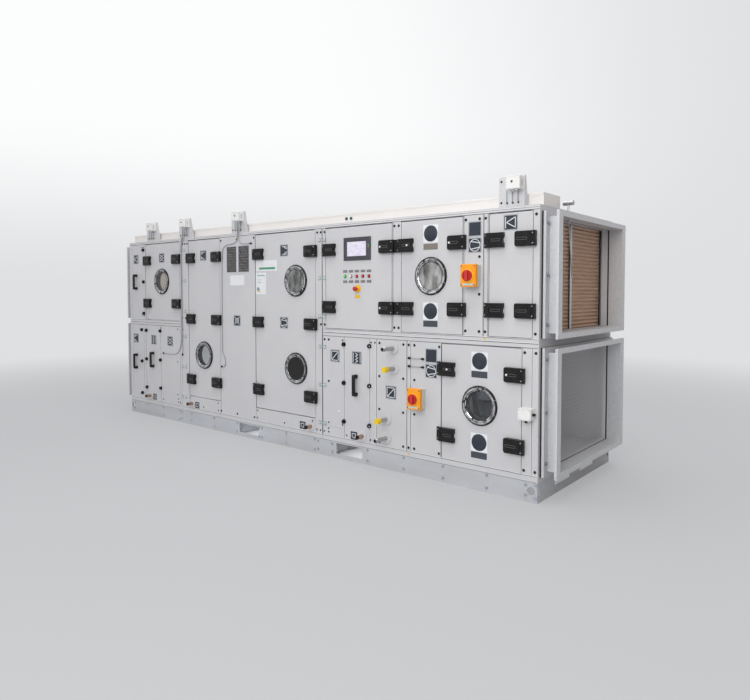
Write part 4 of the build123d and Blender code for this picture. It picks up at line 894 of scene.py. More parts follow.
# %% Window rings
windows = [
    ("door_1", 4657, 1593), ("door_2", 3846.5, 789), ("door_3", 2412.5, 1575), ("door_3", 2412.5, 757),
    ("fan_door", 898, 1593), ("lower_fan_door", 461.5, 632),
]
STUD_RADIUS, STUD_FACE, STUDS = 143, 12, 8
edge_outline = [(136.5, 4), (136.5, 14.8), (138.5, 15.6), (141.5, 15.6), (143, 14), (143, 4), (136.5, 4)]
inner_outline = [(106, 3), (106, 6.8), (108, 8), (111.5, 8), (111.5, 3), (106, 3)]
ring_outline = [(110, 6.5), (111.5, 8), (124, 12.8), (134, 14.2), (137, 13.2), (137, 11.5), (110, 6)]
stud_outline = [(4, 0), (4, 1.6), (3.36, 2), (0, 2)]
rings = {}
for door, left, height in windows:
    ring_mesh, edge_mesh, stud_mesh = rings.setdefault(door, (bmesh.new(), bmesh.new(), bmesh.new()))
    middle = at(left, height)
    turn(ring_mesh, middle, ring_outline, steps=72)
    turn(edge_mesh, middle, edge_outline, steps=72)
    turn(edge_mesh, middle, inner_outline, steps=72)
    for stud in range(STUDS):
        angle = (stud + 0.5) * math.tau / STUDS
        place = shift(math.cos(angle) * STUD_RADIUS, STUD_FACE, math.sin(angle) * STUD_RADIUS)
        turn(stud_mesh, middle + place, stud_outline, steps=8)
for door, (ring_mesh, edge_mesh, stud_mesh) in rings.items():
    piece("window_ring_" + door, ring_mesh, chrome, carriers[door], 40)
    piece("ring_edges_" + door, edge_mesh, ring_black, carriers[door], 40)
    piece("ring_studs_" + door, stud_mesh, pad_screw_zinc, carriers[door])

# %% [markdown]
# ## Operator panel
# The display has a glass screen set in its dark frame, three status lights beside it and a row of keys below.
# The glass is one plate with softened edges. It glows a pale lilac, with soft shapes where the drawn plant
# would be, so the colour comes from slow noise and no lettering. Each lamp has a plain engraved tag above and
# below it.

# %% Display screen
screen_glass = new_finish("lit_screen", shade(206, 204, 222), 0.12)
vary_color(screen_glass, shade(168, 170, 196), 26, 0.7, (1, 1, 1.6))
vary_color(screen_glass, shade(232, 214, 216), 34, 0.6)


def light_up(finish, color, strength):
    """Let a finish glow in a colour."""
    give(inlet_of(finish, "Emission Color"), color)
    give(inlet_of(finish, "Emission Strength"), strength)


light_up(screen_glass, shade(196, 196, 214), 0.22)
display_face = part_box("display")[0].y
screen_middle = at(1654, 1837, display_face)
screen = bmesh.new()
panel(screen, screen_middle + shift(off=-1.2), 212, 122, 2.0, 0.8)
piece("screen", screen, screen_glass, "cabinet_door_leaf")

bezel = bmesh.new()
for across in (-109.5, 109.5):
    panel(bezel, screen_middle + shift(across), 4, 136, 1.2, 0.4)
for up in (-66.5, 66.5):
    panel(bezel, screen_middle + shift(up=up), 223, 4, 1.2, 0.4)
for key in range(6):
    panel(bezel, screen_middle + shift(across=key * 36 - 90, up=-80), 26, 9, 1.0, 0.4)
piece("screen_bezel", bezel, frame_dark, "cabinet_door_leaf")

# %% Status lights
status_cap = template_of([(0, 1.8), (2.6, 1.4), (3.4, 0), (0, 0)])
for name, color, height, glow_strength in (
    ("status_green", shade(60, 210, 110), 1867, 0.8), ("status_amber", shade(226, 170, 60), 1849, 0.3),
    ("status_dark", shade(90, 84, 80), 1831, 0.0),
):
    light = mottled(name, color, shade(250, 250, 220), 300, 0.2, 0.25)
    light_up(light, color, glow_strength)
    spots = carried_by("cabinet_door_leaf", [at(1523, height, display_face)])
    scatter(name, status_cap, spots, light)

# %% Tags and lamp glints
tag_grey = mottled("engraved_tag", shade(132, 132, 136), shade(96, 96, 100), 160, 0.5, 0.4)
relief(tag_grey, 700, 0.0001, 0.2)
tag_frame = mottled("tag_frame", shade(66, 66, 70), shade(92, 92, 96), 90, 0.4, 0.4)
tags, tag_rims = bmesh.new(), bmesh.new()
for centre in lamp_centres:
    for height in (1648, 1559):
        place = Vector((centre, front, height * MM))
        panel(tag_rims, place, 49, 21, 0.8, 0.3)
        panel(tags, place, 43, 15, 1.3, 0.3)
piece("lamp_tags", tags, tag_grey, "cabinet_door_leaf")
piece("lamp_tag_rims", tag_rims, tag_frame, "cabinet_door_leaf")
stop_tag = bmesh.new()
panel(stop_tag, at(1653, 1431), 60, 27, 1.2, 0.4)
piece("stop_tag", stop_tag, stop_yellow, "cabinet_door_leaf")

# Each lamp lens gets a small pale cap in front of it: a painted highlight.
lamp_glint = mottled("lamp_glint", shade(236, 240, 238), shade(190, 200, 196), 400, 0.4, 0.08)
glint_cap = template_of([(0, 1.0), (3.6, 0.9), (4.4, 0), (0, 0)])
lamp_z = (lamp_low.z + lamp_high.z) / 2
glint_places = [Vector((centre, lamp_low.y, lamp_z)) + shift(off=-0.8) for centre in lamp_centres]
scatter("lamp_glints", glint_cap, carried_by("cabinet_door_leaf", glint_places), lamp_glint)

# %% [markdown]
# ## Isolators
# The two rotary isolators have a screw in each corner of the cover, a pale strip below the knob, and a grip
# across the knob that a gloved hand can turn. The CAD has the knob and its grip. Here the grip gets a painted
# highlight along both edges and a position line near its top, and strips of painted shade lie beside it on
# the knob; all of them turn with the handle because they ride on it.

# %% Isolator finishes
strip_blue = mottled("isolator_strip", shade(150, 206, 216), shade(196, 226, 226), 120, 0.5, 0.4)
# The bright red is a painted highlight on the grip's edges; the dark red is painted shade on the knob.
knob_highlight = mottled("painted_highlight_red", shade(232, 96, 92), shade(214, 60, 58), 90, 0.5, 0.25)
knob_painted_shade = mottled("knob_shadow_red", shade(140, 16, 16), shade(110, 10, 12), 90, 0.5, 0.35)
print("isolator finishes ready")

# %% Isolator details
COVER_FACE = front - 80 * MM
KNOB_FACE = front - 98.5 * MM
cover_screw = template_of([(0, 0.8), (2.6, 0.8), (3.2, 1.6), (4.6, 1.2), (5, 0), (0, 0)], steps=10)
cover_places = []
for name, left, height in (("upper", 519.5, 1590), ("lower", 1006.5, 631.5)):
    handle = name + "_isolator_handle"
    cover = at(left, height, COVER_FACE)
    cover_places += [cover + shift(across, 0, up) for across in (-54, 54) for up in (-69, 69)]
    strip = bmesh.new()
    panel(strip, cover + shift(up=-65), 88, 12, 0.8, 0.3)
    piece(name + "_isolator_strip", strip, strip_blue, "casing")

    low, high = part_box(handle)
    middle = (low + high) / 2
    grip, shade_strips = bmesh.new(), bmesh.new()
    # Pale red strips on the grip's edges are painted highlight, and dark red strips beside it are painted
    # shade.
    for side in (-1, 1):
        edge = Vector((middle.x, low.y, middle.z)) + shift(side * 6.8, -1.2)
        panel(grip, edge, 3.4, 68, 1.6, 0.6)
        for step in range(3):
            place = Vector((middle.x, KNOB_FACE, middle.z)) + shift(side * (17 + step * 7))
            panel(shade_strips, place, 3, 62 - step * 13, 0.9, 0.4)
    panel(grip, Vector((middle.x, low.y, high.z)) + shift(0, -1.2, -14), 3.2, 16, 1.0, 0.3)
    piece(name + "_grip_highlights_and_line", grip, knob_highlight, handle)
    piece(name + "_knob_shade_strips", shade_strips, knob_painted_shade, handle)
spots = carried_by("casing", cover_places)
scatter("isolator_cover_screws", cover_screw, spots, screw_black)

# %% [markdown]
# ## Plates on the doors and panels
# Ventilation plant carries square plates with drawn symbols of what sits behind each door, and white notice
# plates. The symbols here are plain schematic ones: a fan is a circle with two closing lines, a coil is a
# framed diagonal, a filter is a zigzag between two lines, an exchanger is a pair of crossing arrows, a damper
# is a pair of wedges, and flow is a triangle with a bar. One more is a small circle round a diamond, with a
# short line towards each corner. They are painted lines half a millimetre thick, laid as strokes on a slate
# plate with a pale rim. Each one is written as a few lines from point to point, and a reach of one is nearly
# half of the plate's width. Notice plates and labels stay bare: a plain disc or plain bars, with no
# lettering.

# %% Plate finishes
slate_film = mottled("slate_plate", shade(34, 42, 54), shade(52, 60, 72), 22, 0.5, 0.36)
plate_white = mottled("plate_white", shade(226, 228, 231), shade(206, 208, 212), 30, 0.4, 0.4)
plate_rim = mottled("plate_rim", shade(176, 180, 186), shade(140, 144, 150), 60, 0.4, 0.35, 0.2)
FILM = 0.5


def draw(mesh, face, points, width, thick=FILM):
    """Strokes from each point to the next, in millimetres about a place."""
    for start, end in zip(points, points[1:]):
        stroke(mesh, face, start, end, width, thick)


def flipped(lines, across, up):
    """The same lines, turned over sideways or upside down."""
    return [[(x * across, y * up) for x, y in line] for line in lines]


print("a painted line is", FILM, "mm thick")

# %% Symbols
EDGE = 0.85
wedge = [[(-0.5, 0.8), (0.75, 0.8), (0.75, 0.25), (-0.1, 0.8)]]
arrow = [[(-0.8, 0.8), (0.8, 0), (-0.8, -0.8)]]
side_lines = [[(-EDGE, -EDGE), (-EDGE, EDGE)], [(EDGE, -EDGE), (EDGE, EDGE)]]
level_lines = [[(-EDGE, EDGE), (EDGE, EDGE)], [(-EDGE, -EDGE), (EDGE, -EDGE)]]
diamond = [(0, 0.3), (0.3, 0), (0, -0.3), (-0.3, 0), (0, 0.3)]
zigzag = [(-0.3, 0.85), (0.3, 0.6), (-0.3, 0.3), (0.3, 0), (-0.3, -0.3), (0.3, -0.6), (-0.3, -0.85)]
corner_line = [[(0.8, 0.8), (0.35, 0.35)]]
symbols = {
    "bare": [],
    "flow": [[(-0.85, -0.8), (-0.85, 0.8)], [(0.8, 0.8), (-0.7, 0), (0.8, -0.8), (0.8, 0.8)]],
    "fan": [[(-0.72, 0.62), (0.9, 0.34)], [(-0.72, -0.62), (0.9, -0.34)]],
    "coil": [[(-EDGE, -EDGE), (EDGE, EDGE)]] + side_lines + level_lines,
    "damper": wedge + flipped(wedge, 1, -1),
    "damper_left": flipped(wedge, -1, 1) + flipped(wedge, -1, -1),
    "exchanger": arrow + flipped(arrow, -1, 1),
    "filter": [zigzag] + side_lines,
    "cross": [diamond] + [line for x in (-1, 1) for y in (1, -1) for line in flipped(corner_line, x, y)],
}
circle_radii = {"fan": 46, "cross": 26}
print("symbols", sorted(symbols))

# %% Symbol plates
symbol_places = [
    ("flow", 220, 1960), ("bare", 508, 1932), ("fan", 508, 1813), ("bare", 891, 974), ("fan", 891, 854),
    ("coil", 1289, 646), ("filter", 1661, 906), ("coil", 1916, 908), ("damper", 2573, 1862),
    ("fan", 2578, 1179), ("cross", 3284, 1179), ("damper_left", 3851, 1862), ("exchanger", 4658, 1864),
    ("flow", 5220, 1865), ("exchanger", 4504, 908), ("filter", 4849, 908), ("damper_left", 5240, 910),
]
RIM_SIDE, RIM_THICK = 114, FILM * 1.6
FIELD_SIDE, FIELD_THICK = 97, FILM * 2.6
HALF_SYMBOL = 46
LINE_WIDTH = 6
HOOP_WIDTH = 5
shapes = {}
for kind, left, height in symbol_places:
    place, body = on_skin(left, height)
    rims, fields, lines = shapes.setdefault(body, (bmesh.new(), bmesh.new(), bmesh.new()))
    panel(rims, place, RIM_SIDE, RIM_SIDE, RIM_THICK, 0.3)
    panel(fields, place, FIELD_SIDE, FIELD_SIDE, FIELD_THICK, 0.3)
    face = place + shift(off=FIELD_THICK)
    for line in symbols[kind]:
        draw(lines, face, [(x * HALF_SYMBOL, y * HALF_SYMBOL) for x, y in line], LINE_WIDTH)
    if kind in circle_radii:
        outer = circle_radii[kind]
        inner = outer - HOOP_WIDTH
        turn(lines, face, [(outer, 0), (outer, FILM), (inner, FILM), (inner, 0), (outer, 0)], steps=36)
for body, (rims, fields, lines) in shapes.items():
    piece("symbol_rims_" + body, rims, plate_rim, body)
    piece("symbol_plates_" + body, fields, slate_film, body)
    piece("symbol_lines_" + body, lines, plate_white, body)

# %% Notice plates with a plain disc
tag_dark = mottled("bare_tag", shade(50, 56, 66), shade(96, 102, 112), 130, 0.4, 0.4, 0.0, (1, 1, 4))
tag_brown = mottled(
    "bare_tag_brown", shade(112, 106, 98), shade(150, 144, 136), 130, 0.5, 0.4, 0.0, (1, 1, 4)
)
NOTICE_WIDE, NOTICE_TALL, TAG_TALL, TAG_MARGIN = 139, 136, 53, 4
disc_outline = [(0, FILM * 3), (62, FILM * 3), (63, FILM * 2), (63, 0), (0, 0)]
for name, left, disc_height, tag_height, tag_finish, door in (
    ("fan_top", 900, 1922, 1821, tag_brown, "fan_door"), ("fan_low", 900, 1321, 1223, tag_dark, "fan_door"),
    ("lower_top", 463, 962, 863, tag_dark, "lower_fan_door"),
    ("lower_low", 463, 359, 263, tag_dark, "lower_fan_door"),
):
    body = carriers[door]
    place, tag_place = at(left, disc_height), at(left, tag_height)
    white, disc, tag = bmesh.new(), bmesh.new(), bmesh.new()
    panel(white, place, NOTICE_WIDE, NOTICE_TALL, FILM * 2, 0.4)
    panel(white, tag_place, NOTICE_WIDE, TAG_TALL, FILM * 2, 0.4)
    turn(disc, place, disc_outline, steps=48)
    panel(tag, tag_place, NOTICE_WIDE - TAG_MARGIN, TAG_TALL - TAG_MARGIN, FILM * 3, 0.3)
    piece("notice_" + name, white, plate_white, body)
    piece("notice_disc_" + name, disc, slate_film, body)
    piece("notice_tag_" + name, tag, tag_finish, body)

# %% [markdown]
# ## Wiring plates and labels
# Two tall plates on the middle module are crowded with drawn lines. Here they carry rows of short strokes
# whose lengths follow a simple rule, so that no row repeats the one above it and none is lettering. Near them
# are white labels, which get a few plain coloured bars each.

# %% Wiring plates
diagram_dark = mottled("diagram_plate", shade(34, 32, 34), shade(100, 96, 96), 34, 0.8, 0.4)
diagram_ink = mottled("diagram_lines", shade(206, 203, 200), shade(90, 86, 86), 60, 0.9, 0.45)
ROWS, CELLS, ROW_PITCH = 9, 4, 27.5
DIAGRAM_MIDDLE, DIAGRAM_TALL, DIAGRAM_MARGIN = 1803, 266, 10
diagram_y = on_skin(3366, DIAGRAM_MIDDLE)[0].y
rims, fields, lines = bmesh.new(), bmesh.new(), bmesh.new()
for left, wide in ((3365.5, 161), (3171, 170)):
    place = at(left, DIAGRAM_MIDDLE, diagram_y)
    panel(rims, place, wide, DIAGRAM_TALL, FILM * 2, 0.4)
    panel(fields, place, wide - DIAGRAM_MARGIN, DIAGRAM_TALL - DIAGRAM_MARGIN, FILM * 3, 0.3)
    face = place + shift(off=FILM * 3)
    cell_width = (wide - 30) / CELLS
    for row in range(ROWS):
        up = (row - (ROWS - 1) / 2) * ROW_PITCH
        for cell in range(CELLS):
            start = (cell - CELLS / 2) * cell_width + 4
            run = cell_width * (0.45 + 0.1 * ((row * 3 + cell * 5) % 4))
            stroke(lines, face, (start, up), (start + run, up), 2.2, FILM * 0.6)
            if (row + cell) % 3 == 0:
                stroke(lines, face, (start, up), (start, up + 19), 2.0, FILM * 0.6)
piece("diagram_rims", rims, plate_rim, "casing")
piece("diagram_plates", fields, diagram_dark, "casing")
piece("diagram_lines", lines, diagram_ink, "casing")

# %% Labels
bar_green = mottled("label_green", shade(60, 140, 110), shade(90, 160, 132), 40, 0.5, 0.45)
bar_amber = mottled("label_amber", shade(222, 150, 70), shade(230, 176, 90), 60, 0.5, 0.45)
bar_blue = mottled("label_blue", shade(74, 124, 170), shade(100, 148, 190), 60, 0.5, 0.45)


def label(name, left, height, wide, tall, bars):
    """A bare white label, with plain coloured bars as (finish, across, up, wide, tall)."""
    place, body = on_skin(left, height)
    white = bmesh.new()
    panel(white, place, wide, tall, FILM * 1.6, 0.3)
    piece(name, white, plate_white, body)
    for index, (finish, across, up, bar_wide, bar_tall) in enumerate(bars):
        stripe = bmesh.new()
        panel(stripe, place + shift(across, 0, up), bar_wide, bar_tall, FILM * 2.4, 0.2)
        piece(name + "_bar_" + str(index), stripe, finish, body)


label("plain_label", 3277, 1588, 228, 106, [(plate_rim, 0, -50, 220, 2)])
label("wide_label", 2826, 1726, 309, 103, [(bar_green, 10, -26, 235, 20)])
label(
    "tall_label", 2908, 1553, 152, 212,
    [
        (bar_blue, -42, -44, 36, 12), (bar_green, -39, -58, 42, 12), (bar_amber, -36, -72, 48, 12),
        (bar_green, 0, 78, 110, 7), (tag_grey, -20, 36, 50, 4), (tag_grey, -20, 12, 60, 4),
    ],
)

# %% Drain plates and yellow dots
basin = [(-20, 18), (-20, -12), (12, -20), (20, 18), (-20, 18)]
fields, lines = bmesh.new(), bmesh.new()
for left, height in ((4841, 232), (3989, 228), (2330, 234), (1694, 229)):
    place = on_skin(left, height)[0]
    panel(fields, place, 74, 70, FILM * 2, 0.3)
    draw(lines, place + shift(off=FILM * 2), basin, LINE_WIDTH)
piece("drain_plates", fields, slate_film, "casing")
piece("drain_plate_lines", lines, plate_white, "casing")

yellow_dot = template_of([(0, 1.2), (7, 1.2), (8.5, 0), (0, 0)], steps=16)
scatter("yellow_dots", yellow_dot, [on_skin(425, 1129), on_skin(1106, 168)], stop_yellow)

# %% [markdown]
# ## Seams of the casing frame
# Panels and rails meet in seams that show as a dark line with a bright folded edge beside it. In CAD they are
# real but very fine grooves. Here each seam gets its rubber bead, a dark strip two to four millimetres wide,
# and beside it a pale strip of painted highlight, where the folded edge catches the light. Strips run along
# the rails for the whole length of a module, and down the posts where a fixed panel meets a post. The gap on
# the latch side of three doors and four upright joints of the frame get a wider bead.

# %% Seam tools
seam_rubber = mottled("seam_bead", shade(44, 44, 47), shade(78, 78, 82), 12, 0.6, 0.6)
# The pale strip beside each seam is a painted highlight on the folded edge.
fold_highlight_finish = mottled("painted_fold_highlight", shade(234, 234, 236), shade(216, 216, 220), 6, 0.5, 0.28, 0.1)
beads, fold_highlight_strips = bmesh.new(), bmesh.new()
SUNK = 0.5 * MM


def lay(mesh, first, last, bottom, top, off=0.5, rounding=0):
    """A strip between two distances left of the right end and two heights, this far off the casing."""
    block(mesh, at(last, bottom, front - off * MM), at(first, top, front + SUNK), rounding)


def seam_across(first, last, height, bead=2.6, fold=True):
    """A seam along X, with the painted highlight of its folded edge above it."""
    lay(beads, first, last, height - bead / 2, height + bead / 2)
    if fold:
        lay(fold_highlight_strips, first, last, height + 2.6, height + 6.4, 0.9, 0.3)


def seam_up(left, bottom, top):
    """A seam along Z, with the painted highlight of its folded edge on its left."""
    lay(beads, left - 1.3, left + 1.3, bottom, top)
    lay(fold_highlight_strips, left + 2.4, left + 6.0, bottom, top, 0.9, 0.3)


print("seam tools ready")

# %% Seam beads and folded edges
WHOLE = (4, 5361)
UPPER_LEVEL, LOWER_LEVEL, BOTH_LEVELS = (1146, 2034), (188, 1078), (188, 2034)
seam_across(*WHOLE, 2037.5, 3.4)
seam_across(*WHOLE, 2053, 2.0)
for first, last in ((4, 2066), (4270, 5361)):
    seam_across(first, last, 1140, 3.0)
    seam_across(first, last, 1111, 4.4)
    seam_across(first, last, 1081, 3.0, False)
seam_across(*WHOLE, 186, 2.4)
seam_across(*WHOLE, 145, 2.4, False)
for left in (48, 389, 431, 599, 1185, 1268, 2027, 4301, 5013, 5316):
    seam_up(left, *UPPER_LEVEL)
for left in (48, 124, 799, 1091, 1442, 1517, 1808, 4303, 4701, 5014, 5063, 5316):
    seam_up(left, *LOWER_LEVEL)
for left in (2068, 2157, 2994, 3563, 4130, 4268):
    seam_up(left, *BOTH_LEVELS)
for door in ("cabinet_door", "fan_door", "lower_fan_door"):
    low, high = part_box(door)
    block(beads, (high.x + MM, front - 0.3 * MM, low.z), (high.x + DOOR_GAP, front + 2 * MM, high.z))
for left, level, wide in (
    (2072, BOTH_LEVELS, 4), (1126, LOWER_LEVEL, 4), (436, UPPER_LEVEL, 3), (398, UPPER_LEVEL, 3),
):
    lay(beads, left - wide / 2, left + wide / 2, *level, 1.2)
piece("seam_beads", beads, seam_rubber, "casing")
piece("seam_fold_highlights", fold_highlight_strips, fold_highlight_finish, "casing")

# %% [markdown]
# ## Duct collars
# Each collar is bolted to the casing through its inner ring, which small clamps hold at three heights on both
# sides. The bolt heads face along X here, so their outline spins about that axis. The front side of the outer
# flange carries three rivets, where the folded strips overlap.

# %% Collar clamps, bolts and rivets
RING_OFF, FLANGE_BACK, CLAMP_THICK = 30 * MM, 9 * MM, 7 * MM
RING_SIDE, RIVET_Y = 647 * MM, -678 * MM
clamp_zinc = mottled("clamp_zinc", shade(150, 158, 168), shade(110, 116, 126), 60, 0.6, 0.35, 0.8)
collar_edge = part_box("right_collars")[1].x
rivets, clamps, bolt_places = [], bmesh.new(), {1: [], -1: []}
for side in (1, -1):
    ring_face = side * (right_end + RING_OFF)
    clamp_face = ring_face + side * CLAMP_THICK
    start, end = sorted((ring_face, clamp_face))
    for low, high in ((1186, 1988), (218, 1045)):
        middle = (low + high) / 2
        for height in (low - 20, middle, high + 20):
            rivets.append(Vector((side * (collar_edge - FLANGE_BACK), RIVET_Y, height * MM)))
        for height in (high - 42, middle, low + 56):
            for near in (-RING_SIDE, RING_SIDE):
                place = Vector((start, near - 15 * MM, (height - 11) * MM))
                block(clamps, place, (end, near + 15 * MM, (height + 11) * MM), 1.5, 2)
                bolt_places[side].append(Vector((clamp_face, near, height * MM)))
piece("collar_clamps", clamps, clamp_zinc, "casing")
for side, name in ((1, "right"), (-1, "left")):
    head = template_of([(0, 5), (5.2, 5), (6.6, 4.2), (6.6, 0), (0, 0)], (side, 0, 0), 6)
    spots = carried_by("casing", bolt_places[side])
    scatter("collar_bolts_" + name, head, spots, bolt_zinc)
rivet_head = template_of([(0, 1.6), (2.6, 1.2), (3.8, 0), (0, 0)], steps=10)
scatter("collar_rivets", rivet_head, carried_by("casing", rivets), bolt_zinc)

# %% [markdown]
# ## Filter edges and mesh guard
# Each filter cell has a black edge strip on its far side. The guard in the lower duct is welded wire: long
# thin wires, one layer upright and one lying, just touching. It stands for the coarser CAD lattice, which is
# hidden. A wire needs only six sides.

# %% Filter strips
MIDDLE_CELL_EDGE = -19 * MM
media_low, media_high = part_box("filter_media")
strips = bmesh.new()
for far_edge in (media_high.y, MIDDLE_CELL_EDGE):
    low = Vector((media_high.x - 4 * MM, far_edge - 14 * MM, media_low.z))
    block(strips, low, (media_high.x + 3 * MM, far_edge, media_high.z), 1, 2)
piece("filter_strips", strips, seal_rubber, "casing")

# %% Welded mesh
WIRE = 1.0 * MM
UPRIGHT_WIRES, LYING_WIRES = 50, 27
mesh_low, mesh_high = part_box("mesh_guard")
wires = bmesh.new()


def wire(start, end):
    """A straight six-sided wire between two points."""
    start, end = Vector(start), Vector(end)
    run = end - start
    turned = Matrix.Translation((start + end) / 2) @ run.to_track_quat("Z", "Y").to_matrix().to_4x4()
    bmesh.ops.create_cone(
        wires, cap_ends=True, segments=6, radius1=WIRE, radius2=WIRE, depth=run.length, matrix=turned
    )


for index in range(UPRIGHT_WIRES):
    y = mesh_low.y + (index + 0.5) * (mesh_high.y - mesh_low.y) / UPRIGHT_WIRES
    wire((mesh_high.x - WIRE, y, mesh_low.z), (mesh_high.x - WIRE, y, mesh_high.z))
for index in range(LYING_WIRES):
    z = mesh_low.z + (index + 0.5) * (mesh_high.z - mesh_low.z) / LYING_WIRES
    wire((mesh_high.x - 2.9 * WIRE, mesh_low.y, z), (mesh_high.x - 2.9 * WIRE, mesh_high.y, z))
guard = piece("welded_mesh", wires, mesh_zinc, "casing")
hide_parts("mesh_guard")

# %% [markdown]
# ## Clips, glands and roof fittings
# Pairs of clear clips hold the modules together across their seams. The trunking has two cable glands on its
# face, and the sensor brackets carry small brass fittings with thin leads, and two screws. All are spun
# outlines or rounded blocks at measured places.

# %% Seam clips
clip_clear = mottled("clear_clip", shade(198, 208, 208), shade(150, 168, 170), 90, 0.7, 0.2)
# Each clear clip sits on a larger, darker plate that draws the dark outline round its edge: painted shade.
clip_shade = mottled("clip_painted_outline", shade(92, 106, 108), shade(132, 144, 146), 90, 0.6, 0.35)
clips, clip_shade_outlines = bmesh.new(), bmesh.new()
clip_columns = {2072: (1934, 1593, 1250, 979, 635, 291), 4230: (1934, 1593, 1255, 977, 636, 295)}
for left, heights in clip_columns.items():
    for height in heights:
        for side in (-31, 31):
            place = on_skin(left + side, height)[0]
            panel(clips, place, 28, 26, 6, 4, 3)
            panel(clip_shade_outlines, place, 34, 32, 2, 1)
        panel(clips, on_skin(left, height)[0], 38, 6, 3, 1)
piece("seam_clips", clips, clip_clear, "casing")
piece("clip_shade_outlines", clip_shade_outlines, clip_shade, "casing")

# %% Trunking glands
gland_dark = mottled("gland_dark", shade(66, 62, 60), shade(96, 92, 88), 60, 0.5, 0.4)
gland_green = mottled("gland_green", shade(40, 96, 92), shade(24, 70, 68), 60, 0.5, 0.4)
trunk_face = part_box("cable_trunking")[0].y
gland_ring = template_of([(0, 3), (4, 3), (5, 7), (10, 7), (13, 5), (14, 0), (0, 0)], steps=20)
for shade_name, left, finish in (("dark", 1841, gland_dark), ("green", 1787, gland_green)):
    spots = carried_by("casing", [at(left, 2112, trunk_face)])
    scatter("trunking_gland_" + shade_name, gland_ring, spots, finish)

# %% Bracket fittings
brass = mottled("brass_fitting", shade(126, 112, 92), shade(84, 70, 54), 80, 0.6, 0.3, 0.85)
LEAD_WIDTH, LEAD_LENGTH = 3.2, 84
bracket_lefts = (4970, 4300, 3366, 316)
bracket_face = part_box("sensor_brackets")[0].y
hex_nut = template_of([(0, 12), (4, 12), (4.6, 9), (4.6, 5), (8, 5), (8, 0), (0, 0)], steps=6)
bracket_screw = template_of([(0, 1.4), (3, 1.4), (4, 4.2), (7, 3.4), (8.5, 0), (0, 0)])
nut_places = [at(left - across, 2096, bracket_face) for left in bracket_lefts for across in (65, 108, 151)]
screw_spots = [at(left - 19, height, bracket_face) for left in bracket_lefts for height in (2101, 2250)]
scatter("bracket_nuts", hex_nut, carried_by("casing", nut_places), brass)
leads = bmesh.new()
for place in nut_places:
    bar(leads, place + shift(-LEAD_WIDTH / 2, 9, 4), LEAD_WIDTH, LEAD_WIDTH, LEAD_LENGTH, 1.2, 2)
piece("bracket_wires", leads, gland_dark, "casing")
scatter("bracket_screws", bracket_screw, carried_by("casing", screw_spots), screw_black)

# %% Sensor and junction box details
box_seam = mottled("box_seam", shade(150, 146, 138), shade(120, 116, 110), 80, 0.5, 0.5)
box_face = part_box("instrument_boxes")[0].y
eye_cap = template_of([(0, 0.8), (6, 1.0), (8, 1.4), (9, 0.8), (9, 0), (0, 0)], steps=16)
eye_places = []
box_lines = bmesh.new()
for left in bracket_lefts:
    middle = at(left - 139, 2228, box_face)
    eye_places.append(middle + shift(across=-8, up=6))
    for up in (-40, 40):
        panel(box_lines, middle + shift(up=up), 88, 0.9, 0.4)
    for side in (-52, 52):
        bar(box_lines, middle + shift(side - 0.4, -18, -44), 0.8, 1.4, 88)
        bar(box_lines, middle + shift(side - 0.5, -34, -22), 1.0, 7, 42)
JUNCTION_LEFT, JUNCTION_HEIGHT = 75, 624
junction = at(JUNCTION_LEFT, JUNCTION_HEIGHT, front - 60 * MM)
for up in (-35, 35):
    panel(box_lines, junction + shift(up=up), 78, 0.9, 0.4)
panel(box_lines, junction + shift(across=-12, up=27), 18, 1.4, 0.5)
piece("box_lines", box_lines, box_seam, "casing")
scatter("sensor_eyes", eye_cap, carried_by("casing", eye_places), gland_dark)
lid_screw = template_of([(0, 0.6), (1.6, 0.6), (2.2, 1.4), (3.4, 1.0), (3.8, 0), (0, 0)], steps=10)
lid_places = [junction + shift(across, 0, up) for across in (-39, 39) for up in (-30, 30)]
scatter("junction_screws", lid_screw, carried_by("casing", lid_places), bolt_zinc)

# %% [markdown]
# ## Pipe threads
# The open pipe ends are threaded. A thread seen from this far is a row of fine ridges, so the outline that is
# spun round the pipe is a zigzag with a real pitch of two and a half millimetres. The open drains get a
# rolled rim in the same way.

# %% Threads and drain rims
thread_steel = mottled("thread_steel", shade(176, 176, 178), shade(120, 118, 116), 120, 0.6, 0.25, 0.95)
copper_rim = mottled("copper_rim", shade(120, 92, 76), shade(84, 62, 52), 70, 0.6, 0.3, 0.9)
PITCH, TEETH, THREAD_START = 2.5, 11, 149
ROOT, CREST, THREAD_BORE = 17.1, 18.2, 16.6
thread_end = THREAD_START - TEETH * PITCH
thread_outline = []
for tooth in range(TEETH):
    reach = THREAD_START - tooth * PITCH
    thread_outline += [(ROOT, reach), (CREST, reach - PITCH / 2)]
thread_outline += [(ROOT, thread_end), (THREAD_BORE, thread_end), (THREAD_BORE, THREAD_START)]
thread_outline.append(thread_outline[0])
threads = bmesh.new()
for left, height in ((1261, 1011), (1336, 263)):
    turn(threads, at(left, height), thread_outline, steps=40)
piece("pipe_threads", threads, thread_steel, "casing")

rim_outline = [(13.7, 62), (13.7, 70), (17.4, 70), (17.9, 68), (17.9, 63), (17.2, 62), (13.7, 62)]
drain_rims = bmesh.new()
for left in (4920, 4075, 2218, 1596):
    turn(drain_rims, at(left, 240), rim_outline, steps=32)
piece("drain_rims", drain_rims, copper_rim, "casing")
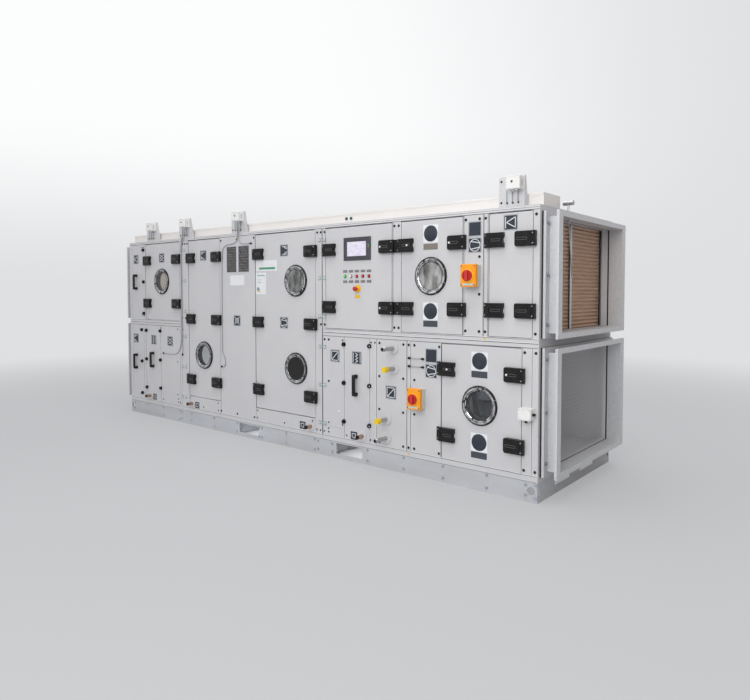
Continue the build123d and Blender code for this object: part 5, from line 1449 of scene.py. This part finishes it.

# %% [markdown]
# ## Dark fillers between the pads
# Between the cabinet's latch pads and the hinge pads of the fan door beside it, the gap shows dark: the
# pads' black sides and the shade between them. A black block fills it as painted shade. It is a rounded block
# nearly as high as the pads and not as thick.

# %% Dark fillers between the pads
FILLER_THICK, FILLER_HALF = 22 * MM, 50 * MM
filler_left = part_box("cabinet_door")[1].x + OVERHANG + 2 * MM
filler_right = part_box("fan_door")[0].x - OVERHANG - 2 * MM
# A black block in each gap between the pads stands for its dark sides and shade: painted shade.
gap_shade_blocks = bmesh.new()
for height in pad_heights("fan_door"):
    low = (filler_left, front - FILLER_THICK, height - FILLER_HALF)
    block(gap_shade_blocks, low, (filler_right, front, height + FILLER_HALF), 2, 2)
piece("pad_gap_shade", gap_shade_blocks, pad_plastic, "casing")
print("filler width", round((filler_right - filler_left) / MM, 1), "mm")

# %% [markdown]
# ## Tube knobs, knob studs and glands
# The thin measuring tubes end in fluted black knobs that press into the panel. The quarter-turn fasteners of
# the lift-off panel show a bright stud in the middle, and the junction box has two black glands. Eight steps
# in a spin give a knob its flats.

# %% Tube knobs and knob studs
tube_knob = template_of([(0, 15), (7, 15), (10, 12), (10, 5), (6.5, 3), (6.5, 0), (0, 0)], steps=8)
knob_places = [
    (1102, 943), (968, 944), (1102, 878), (968, 879), (3536, 690), (3050, 1952), (4634, 762), (4249, 768),
]
scatter("tube_knobs", tube_knob, [on_skin(*place) for place in knob_places], pad_plastic)
stud = template_of([(0, 1.6), (4.6, 1.6), (5.8, 0.8), (5.8, 0), (0, 0)], steps=16)
stud_places = [at(1503, height, front - 22 * MM) for height in (1015, 678, 339)]
scatter("knob_studs", stud, carried_by("casing", stud_places), pad_screw_zinc)

# %% Junction box glands
gland_outline = [(9.0, 1), (10.6, 3), (10.6, 12), (9.6, 20.6), (0, 20.6), (0, 19.8), (9.0, 19.8), (9.0, 1)]
box_middle = at(JUNCTION_LEFT, JUNCTION_HEIGHT, front - 30 * MM)
glands = bmesh.new()
turn(glands, box_middle + shift(across=47.5), gland_outline, (1, 0, 0))
turn(glands, box_middle + shift(up=-41.5), gland_outline, (0, 0, -1))
piece("junction_glands", glands, pad_plastic, "casing")
